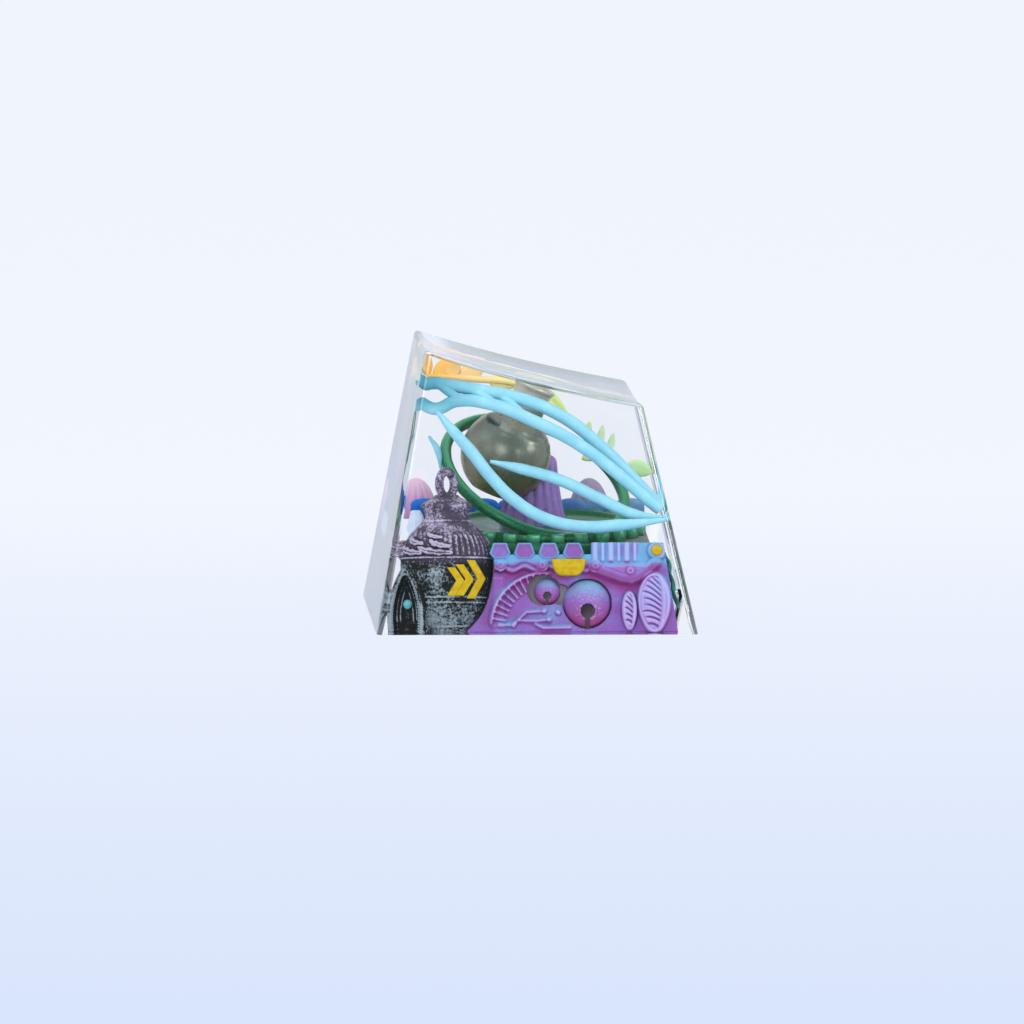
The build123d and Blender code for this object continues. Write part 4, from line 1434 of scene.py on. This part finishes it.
def hoopPlate():
    edge, low, high = hoop["plate"], hoop["low"], hoop["high"]
    floor = high - hoop["dip"]
    rings = [
        (edge - 2.6, low), (edge, low), (edge + 0.02, (low + high) / 2), (edge, high - 0.1),
        (edge - 0.1, high), (edge - 0.6, high), (edge - 0.65, floor), (edge - 2.6, floor),
    ]
    return newObject("plate", latheMesh("plate", rings, lambda x, y, z: (x + hoop["plateX"], y, z), 104))


def hoopTeeth():
    length, width = hoop["tooth"]
    root, tip = hoop["plate"] - 0.3, hoop["plate"] + length
    outline = [(root, -width / 2), (tip, -0.36 * width), (tip, 0.36 * width), (root, width / 2)]
    mesh = slabMesh("teeth", outline, hoop["low"], hoop["high"], lambda x, y, z: (x, y, z), 0.07)
    centre = (hoop["plateX"] * mm, 0.0, 0.0)
    tooth = newObject("teeth", mesh, smooth=False)
    return useTree(tooth, ringOfCopies, {"Count": hoop["teeth"], "Centre": centre})


def hoopRack():
    left, right, foot, top, out = hoop["rack"]
    near = onNearFace(0.0, foot, out)[1]
    lip = [
        (near, foot), (near + 0.1, top - 0.08), (near + 0.2, top), (-hoop["plate"], top),
        (-hoop["plate"], hoop["low"]), (-stem["deckHalf"] + 0.05, hoop["low"]), (-stem["half"] + 0.95, foot),
    ]
    points = [(x, y, z) for x in (left, right) for y, z in lip]
    return newObject("rack", ringMesh("rack", points, len(lip)), smooth=False)


def greenMaterial():
    material, tree, mask = grainMaterial(
        "greenMetal", 14000.0, 0.15, 0.01, (0.2, 0.4), metallic=0.4, gloss=0.5)
    tone = ramp(tree, mask, [(0.3, (10, 80, 50)), (0.55, (18, 108, 68)), (0.75, (50, 150, 100))])
    # painted highlight: the teeth are lighter green, and so is the side of the hoop that faces up, clear of
    # the plate
    tone = blend(tree, times(tree, layer(tree, "level"), 0.7), tone, paint(104, 204, 154))
    facing = addNode(tree, "ShaderNodeTexCoord").outputs["Normal"]
    facing = addNode(tree, "ShaderNodeSeparateXYZ", None, {0: facing}).outputs["Z"]
    clear = times(tree, objectAxis(tree, 2, 5.2, 5.5), 0.65)
    upper = times(tree, past(tree, facing, 0.45, 1.8), clear)
    return colourBy(material, blend(tree, upper, tone, paint(96, 196, 150)))


hoopParts = [hoopBand(), hoopPlate(), hoopTeeth(), hoopRack()]
finishPiece(joinPieces("greenHoop", hoopParts), [greenMaterial()], ["green_hoop"])
print("hoop made")


pot = {
    "radius": 2.6, "foot": 1.1, "neck": 1.1, "neckLength": 1.95, "centre": (-1.5, 0.0, 9.15), "tilt": 23.0,
    "bands": (0.62, 0.78), "lug": (220.0, 50.0), "lugWire": 0.17, "lugHalf": 0.42, "lugHeight": 0.5,
    # growth over the neck's radius and share of its length, up to the lip and in again
    "neckShape": [
        (0.02, 0.1), (0.0, 0.3), (0.0, 0.8), (0.06, 0.92), (0.12, 0.96), (0.15, 1.0), (0.12, 1.04),
        (-0.05, 1.05), (-0.2, 0.98),
    ],
    # grey towards the top, golden foot, and a pale neck that is a painted highlight: from and to height,
    # share, paint
    "tints": [
        (7.0, 11.5, 0.75, (120, 131, 125)), (8.4, 6.9, 0.65, (172, 150, 98)),
        (11.7, 12.3, 0.8, (222, 214, 196)),
    ],
}
potSpin = Matrix.Rotation(math.radians(pot["tilt"]), 3, "Y")


def potPlace(x, y, z):
    return tuple(Vector(pot["centre"]) + potSpin @ Vector((x, y, z)))


def potBody():
    drop = math.sqrt(pot["radius"] ** 2 - pot["foot"] ** 2)
    shoulder = math.sqrt(pot["radius"] ** 2 - pot["neck"] ** 2)
    rings = [(0.02, -drop - 0.02), (pot["foot"] - 0.1, -drop - 0.02)]
    for angle in np.linspace(math.asin(-drop / pot["radius"]), math.asin(shoulder / pot["radius"]), 61):
        swell = 1 + 0.02 * sum(gauss(angle, band, 0.03) for band in pot["bands"])
        rings.append((pot["radius"] * math.cos(angle) * swell, pot["radius"] * math.sin(angle)))
    rings += [(pot["neck"] + grow, shoulder + rise * pot["neckLength"]) for grow, rise in pot["neckShape"]]
    return newObject("potBody", latheMesh("potBody", rings, potPlace, 112))


def potLug():
    around, tip = [math.radians(angle) for angle in pot["lug"]]
    axis = Vector((math.sin(tip) * math.cos(around), math.sin(tip) * math.sin(around), math.cos(tip)))
    side = axis.cross(Vector((0, 0, 1))).normalized()
    route = []
    for step in range(7):
        angle = math.pi * step / 6
        reach = pot["radius"] - 0.12 + pot["lugHeight"] * math.sin(angle)
        route.append(potPlace(*(axis * reach + side * pot["lugHalf"] * math.cos(angle))))
    return strandPiece("lug", [route], pot["lugWire"], 14, start=0.01, end=0.01)


def bronzeMaterial():
    material, tree, _ = grainMaterial("agedBronze", 1500.0, 0.2, 0.03, (0.2, 0.38), metallic=0.5, gloss=0.8)
    tones = [(0.3, (88, 92, 72)), (0.5, (116, 117, 92)), (0.7, (168, 154, 108))]
    tone = ramp(tree, objectNoise(tree, 420.0, 4.0), tones)
    for low, high, share, colour in pot["tints"]:
        tone = blend(tree, times(tree, objectAxis(tree, 2, low, high), share), tone, paint(*colour))
    return colourBy(material, tone)


finishPiece(joinPieces("bronzePot", [potBody(), potLug()]), [bronzeMaterial()], ["bronze_pot"])

pleats = {
    "radius": 2.0, "top": 1.4, "count": 16, "depth": 0.221, "height": 3.8, "drop": 0.3, "centre": (0.1, 1.1),
    "gather": 0.1, "rows": 24, "foldSteps": 12,
}


def purplePleats():
    columns = pleats["count"] * pleats["foldSteps"]
    points = []
    for rise in np.linspace(0, 1, pleats["rows"]):
        gather = pleats["gather"] * math.sin(math.pi * rise)
        plain = pleats["radius"] + (pleats["top"] - pleats["radius"]) * rise - gather
        crown = math.sqrt(1 - 0.8 * max(0.0, (rise - 0.85) / 0.15) ** 3)
        z = hoop["high"] - pleats["drop"] + rise * (pleats["height"] + pleats["drop"])
        for column in range(columns):
            turn = 2 * math.pi * column / columns
            fold = abs(math.sin(turn * pleats["count"] / 2 + 0.5 * math.sin(3 * rise + turn))) ** 0.8
            radius = (plain - pleats["depth"] * (1 - fold) * (1.1 - 0.5 * rise)) * crown
            x, y = pleats["centre"]
            points.append((x + radius * math.cos(turn), y + radius * math.sin(turn), z))
    return newObject("purplePleats", ringMesh("purplePleats", points, columns))


def purpleMaterial():
    material, tree, mask = grainMaterial("purplePaint", 2600.0, 0.25, 0.02, (0.45, 0.65))
    tone = blend(tree, mask, paint(120, 94, 164), paint(166, 138, 206))
    edge = addNode(tree, "ShaderNodeNewGeometry").outputs["Pointiness"]
    return colourBy(material, blend(tree, past(tree, edge, 0.5, 6.0), tone, paint(190, 164, 220)))


finishPiece(purplePleats(), [purpleMaterial()], ["purple_drape"])
print("pot and pleats made")


tendrils = {
    "upper_tendril": {"radius": 0.37, "taper": 0.001, "tip": 1.0, "route": [
        (-6.75, -4.65, 13.75), (-5.8, -4.6, 13.92), (-4.86, -4.6, 13.78), (-3.2, -4.6, 13.5),
        (-1.2, -4.5, 13.1), (1.5, -4.4, 12.0), (3.8, -4.2, 10.2), (6.1, -4.0, 7.85), (7.2, -3.92, 6.72)]},
    "middle_tendril": {"radius": 0.36, "taper": 0.001, "tip": 1.0, "route": [
        (-6.75, -5.0, 12.95), (-5.74, -5.0, 12.48), (-4.53, -5.1, 12.94), (-2.5, -5.2, 12.76),
        (-0.24, -5.2, 11.86), (2.6, -5.1, 10.36), (4.9, -4.9, 8.57), (6.6, -4.8, 7.1), (7.2, -4.77, 6.63)]},
    "lower_tendril": {"radius": 0.36, "taper": 0.14, "tip": 0.35, "route": [
        (-5.65, -5.7, 12.4), (-4.74, -5.8, 11.3), (-3.73, -5.9, 10.15), (-2.6, -6.0, 8.7), (-1.18, -6.1, 7.3),
        (0.5, -6.2, 6.3), (2.5, -6.2, 5.83), (4.8, -6.2, 5.9), (7.35, -6.2, 6.2)]},
    "side_tendril": {"radius": 0.34, "taper": 0.2, "tip": 0.3, "route": [
        (-2.6, -5.3, 9.47), (-0.85, -5.3, 9.05), (1.44, -5.3, 8.38), (3.7, -5.4, 7.32), (5.7, -5.45, 6.4),
        (7.3, -5.5, 6.25)]},
    "twig": {"radius": 0.2, "taper": 0.3, "tip": 0.4, "route": [
        (-6.0, -2.0, 10.5), (-5.5, -2.0, 9.7), (-5.3, -2.0, 8.6)]},
}
bridges = {
    "radius": 0.27, "routes": [
        [(-5.5, -4.7, 13.85), (-4.9, -4.9, 13.4), (-4.3, -5.05, 13.0)],
        [(-3.7, -4.65, 13.55), (-3.0, -4.9, 13.2), (-2.3, -5.15, 12.75)],
        [(-1.95, -4.6, 13.2), (-1.4, -4.85, 12.75), (-0.85, -5.1, 12.25)],
    ],
}


def skyMaterial():
    # light blue, teal where the upper strands start
    material, tree, mask = grainMaterial("skyPaint", 1400.0, 0.15, 0.02, (0.3, 0.5))
    tone = ramp(tree, mask, [(0.3, (140, 206, 226)), (0.55, (150, 214, 231)), (0.8, (166, 223, 237))])
    start = times(tree, objectAxis(tree, 0, -3.0, -5.8), objectAxis(tree, 2, 12.3, 12.9))
    return colourBy(material, blend(tree, times(tree, start, 0.95), tone, paint(80, 154, 172)))


sky = skyMaterial()
for nodeName, strand in tendrils.items():
    strandName = nodeName + "Strand"
    strandParts = [strandPiece(
        strandName, [strand["route"]], strand["radius"], 16, start=strand["taper"], tip=strand["tip"])]
    if nodeName == "upper_tendril":
        strandParts.append(strandPiece("bridges", bridges["routes"], bridges["radius"], 12))
    finishPiece(joinPieces(strandName, strandParts), [sky], [nodeName])
print("tendrils made")


garland = {
    "route": [
        (-6.0, 3.0, 13.4), (-3.4, 3.0, 13.2), (-0.3, 3.0, 12.75), (1.83, 3.0, 11.15), (3.56, 3.0, 9.6),
        (4.83, 3.0, 8.67), (5.75, 3.0, 8.1),
    ],
    "wire": 0.2, "thickness": 0.34, "bow": 0.12, "rows": 18, "sides": 14,
    # share along the route, heading, length, width
    "leaves": [
        (0.01, 92, 1.4, 0.55), (0.015, 268, 0.9, 0.5), (0.03, 30, 1.9, 1.1), (0.1, 65, 1.1, 1.0),
        (0.15, 28, 1.6, 1.1), (0.27, -4, 1.9, 0.95), (0.45, -34, 2.8, 1.3), (0.78, 80, 0.95, 0.44),
        (0.85, 82, 1.35, 0.44), (0.9, 78, 1.25, 0.44), (0.87, 205, 1.4, 0.8), (0.99, -18, 1.6, 1.0),
    ],
}


def alongRoute(route, share):
    route = [Vector(spot) for spot in route]
    runs = [(after - before).length for before, after in zip(route, route[1:])]
    left = share * sum(runs)
    for before, after, run in zip(route, route[1:], runs):
        if left <= run:
            return before.lerp(after, left / run)
        left -= run
    return route[-1]


def bladeSpots(rows, sides, width, ease, full):
    # round a leaf, ring by ring: share of its length, place across, and side from -1 to 1
    for row in range(rows):
        share = 0.01 + 0.98 * row / (rows - 1)
        half = 0.5 * width * math.sin(math.pi * share ** ease) ** full
        for across, side in circleSpots(sides):
            yield share, half * across, side * min(1.0, half / 0.2)


def garlandLeaf(spot, heading, length, width):
    ahead, aside = math.cos(math.radians(heading)), math.sin(math.radians(heading))
    points = []
    for share, across, side in bladeSpots(garland["rows"], garland["sides"], width, 0.85, 0.75):
        along = share * length
        thick = 0.5 * garland["thickness"] * side * (1 - 0.35 * math.exp(-(across / (0.12 * width)) ** 2))
        x = spot[0] + along * ahead - across * aside
        y = spot[1] + thick + garland["bow"] * math.sin(math.pi * share)
        points.append((x, y, spot[2] + along * aside + across * ahead))
    return newObject("leaf", ringMesh("leaf", points, garland["sides"]))


def leafGarland():
    route = garland["route"]
    parts = [strandPiece("garlandStem", [route], garland["wire"], 12, start=0.02, end=0.1, tip=0.6)]
    for share, heading, length, width in garland["leaves"]:
        parts.append(garlandLeaf(alongRoute(route, share), heading, length, width))
    return joinPieces("leafGarland", parts)


def leafMaterial():
    # orange at the back end, through yellow, to green
    material, tree, mask = grainMaterial("leafPaint", 1500.0, 0.2, 0.02, (0.4, 0.6))
    drift = times(tree, calc(tree, "SUBTRACT", mask, 0.5), 0.05)
    return colourBy(material, ramp(tree, calc(tree, "ADD", objectAxis(tree, 0, -6.5, 7.2), drift), [
        (0.0, (242, 166, 48)), (0.08, (244, 188, 92)), (0.22, (246, 210, 150)), (0.36, (242, 224, 152)),
        (0.46, (234, 226, 156)), (0.54, (224, 232, 144)), (0.68, (208, 230, 146)), (0.8, (206, 234, 190)),
        (1.0, (186, 228, 160)),
    ]))


finishPiece(leafGarland(), [leafMaterial()], ["leaf_garland"])

wave = {
    "length": 13.6, "pitch": 1.7, "height": 1.25, "crest": 0.35, "thickness": 0.7, "y": 5.33, "columns": 260,
    "foot": stem["deck"] - 0.03,
    # its foot swells over the teeth of the plate
    "swell": [(1.05, 0.0), (1.05, 0.72), (0.85, 0.8)],
}


def blueWave():
    # rounded ridge with scallops along its top
    angles = [math.pi * step / 12 for step in range(1, 13)]
    crest = [(0.5 * math.cos(angle), 0.75 + 0.25 * math.sin(angle)) for angle in angles]
    section = wave["swell"] + crest + [(-0.5, 0.0)]
    points = []
    for column in range(wave["columns"]):
        x = (column / (wave["columns"] - 1) - 0.5) * wave["length"]
        scallop = math.sqrt(max(0.0, 1 - (2 * ((x / wave["pitch"]) % 1.0) - 1) ** 2))
        rise = stem["deck"] + wave["height"] - wave["crest"] * (1 - scallop) - wave["foot"]
        for across, up in section:
            points.append((x, wave["y"] + across * wave["thickness"], wave["foot"] + up * rise))
    return newObject("blueWave", ringMesh("blueWave", points, len(section)))


def waveMaterial():
    material, tree, mask = grainMaterial("wavePaint", 1200.0, 0.2, 0.03, (0.3, 0.5))
    deep = blend(tree, mask, paint(10, 82, 176), paint(32, 120, 214))
    pale = blend(tree, mask, paint(86, 128, 172), paint(128, 168, 204))
    return colourBy(material, blend(tree, objectAxis(tree, 0, 0.0, 5.0), deep, pale))


finishPiece(blueWave(), [waveMaterial()], ["blue_wave"])

stones = {
    "inset": 0.15, "first": 1.6, "pitch": 1.15, "count": 4, "radius": 0.6, "height": 1.1, "drop": 0.5,
    "taper": 14.0, "turn": 25.0, "sides": 6,
    # height below the top and inset of the bevelled upper edge
    "bevel": [(0.1, 0.0), (0.03, 0.05), (0.0, 0.13)],
}


def whiteStones():
    levels = [(0.0, 0.0), (0.5, 0.0)]
    levels += [(stones["height"] - below, inset) for below, inset in stones["bevel"]]
    x, foot = -stem["deckHalf"] + stones["inset"], stem["deck"] - stones["drop"]
    parts = []
    for index in range(stones["count"]):
        y = stones["first"] + index * stones["pitch"]
        points = []
        for rise, inset in levels:
            radius = stones["radius"] - rise * slopeOf(stones["taper"]) - inset
            for side in range(stones["sides"]):
                angle = math.radians(360.0 / stones["sides"] * side + stones["turn"] * index)
                points.append([x + radius * math.cos(angle), y + radius * math.sin(angle), foot + rise])
        mesh = ringMesh("stone", tuckIntoBase(points), stones["sides"])
        parts.append(newObject("stone", mesh, smooth=False))
    joined = joinPieces("whiteStones", parts)
    joined.data.shade_flat()
    return joined


whitePaint = twoTone("whitePaint", 1800.0, 0.2, 0.02, (0.45, 0.65), (180, 206, 236), (224, 234, 246))
finishPiece(whiteStones(), [whitePaint], ["white_stones"])

shells = {
    "radius": 1.2, "height": 2.25, "ribs": 14, "groove": 0.1, "rows": 20, "ribSteps": 10,
    "foot": stem["deck"] - 0.03,
    "spots": {"back_shell": (-6.43, 6.88), "far_shell": (3.65, 6.88)},
}


def ribbedShell(name):
    x, y = shells["spots"][name]
    columns = shells["ribs"] * shells["ribSteps"]
    points = []
    for row in range(shells["rows"]):
        rise = math.radians(88.0 * row / (shells["rows"] - 1))
        z = shells["foot"] + shells["height"] * math.sin(rise)
        for column in range(columns):
            turn = 2 * math.pi * column / columns
            rib = abs(math.cos(turn * shells["ribs"] / 2)) ** 0.7
            radius = (shells["radius"] - shells["groove"] * (1 - rib)) * math.cos(rise)
            points.append((x + radius * math.cos(turn), y + radius * math.sin(turn), z))
    return newObject(name + "Ribbed", ringMesh(name, points, columns))


def pinkMaterial():
    # lighter towards the top, mauve on the front one
    material, tree, mask = grainMaterial("pinkPaint", 1500.0, 0.2, 0.02, (0.4, 0.6))
    tone = blend(tree, mask, paint(174, 124, 172), paint(206, 154, 190))
    tone = blend(tree, objectAxis(tree, 2, 5.2, 6.9), tone, paint(224, 192, 216))
    return colourBy(material, blend(tree, objectAxis(tree, 0, -3.0, 2.0), tone, paint(160, 146, 172)))


pink = pinkMaterial()
for shellName in shells["spots"]:
    finishPiece(ribbedShell(shellName), [pink], [shellName])

frond = {
    "x": 8.24, "y": -5.9, "lean": 11.8, "foot": 1.0, "length": 3.4, "width": 0.8, "thickness": 0.25,
    "folds": 3, "foldHeight": 0.05, "rows": 40, "sides": 20,
}


def tealFrond():
    # leaf with side veins that hangs along the front side of the base
    leanIn, leanUp = math.sin(math.radians(frond["lean"])), math.cos(math.radians(frond["lean"]))
    points = []
    for share, across, side in bladeSpots(frond["rows"], frond["sides"], frond["width"], 0.9, 0.8):
        vein = math.sin(2 * math.pi * frond["folds"] * (share - 0.35 * abs(across)))
        thick = frond["thickness"] * (0.5 + 0.5 * side) + frond["foldHeight"] * vein
        up = frond["foot"] + share * frond["length"]
        x = frond["x"] - up * leanIn + thick * leanUp
        points.append((x, frond["y"] + across, up * leanUp + thick * leanIn))
    return newObject("tealFrond", ringMesh("tealFrond", points, frond["sides"]))


tealPaint = twoTone("tealPaint", 2000.0, 0.25, 0.02, (0.35, 0.6), (26, 88, 80), (60, 146, 132))
finishPiece(tealFrond(), [tealPaint], ["teal_frond"])
print("garland and far pieces made")
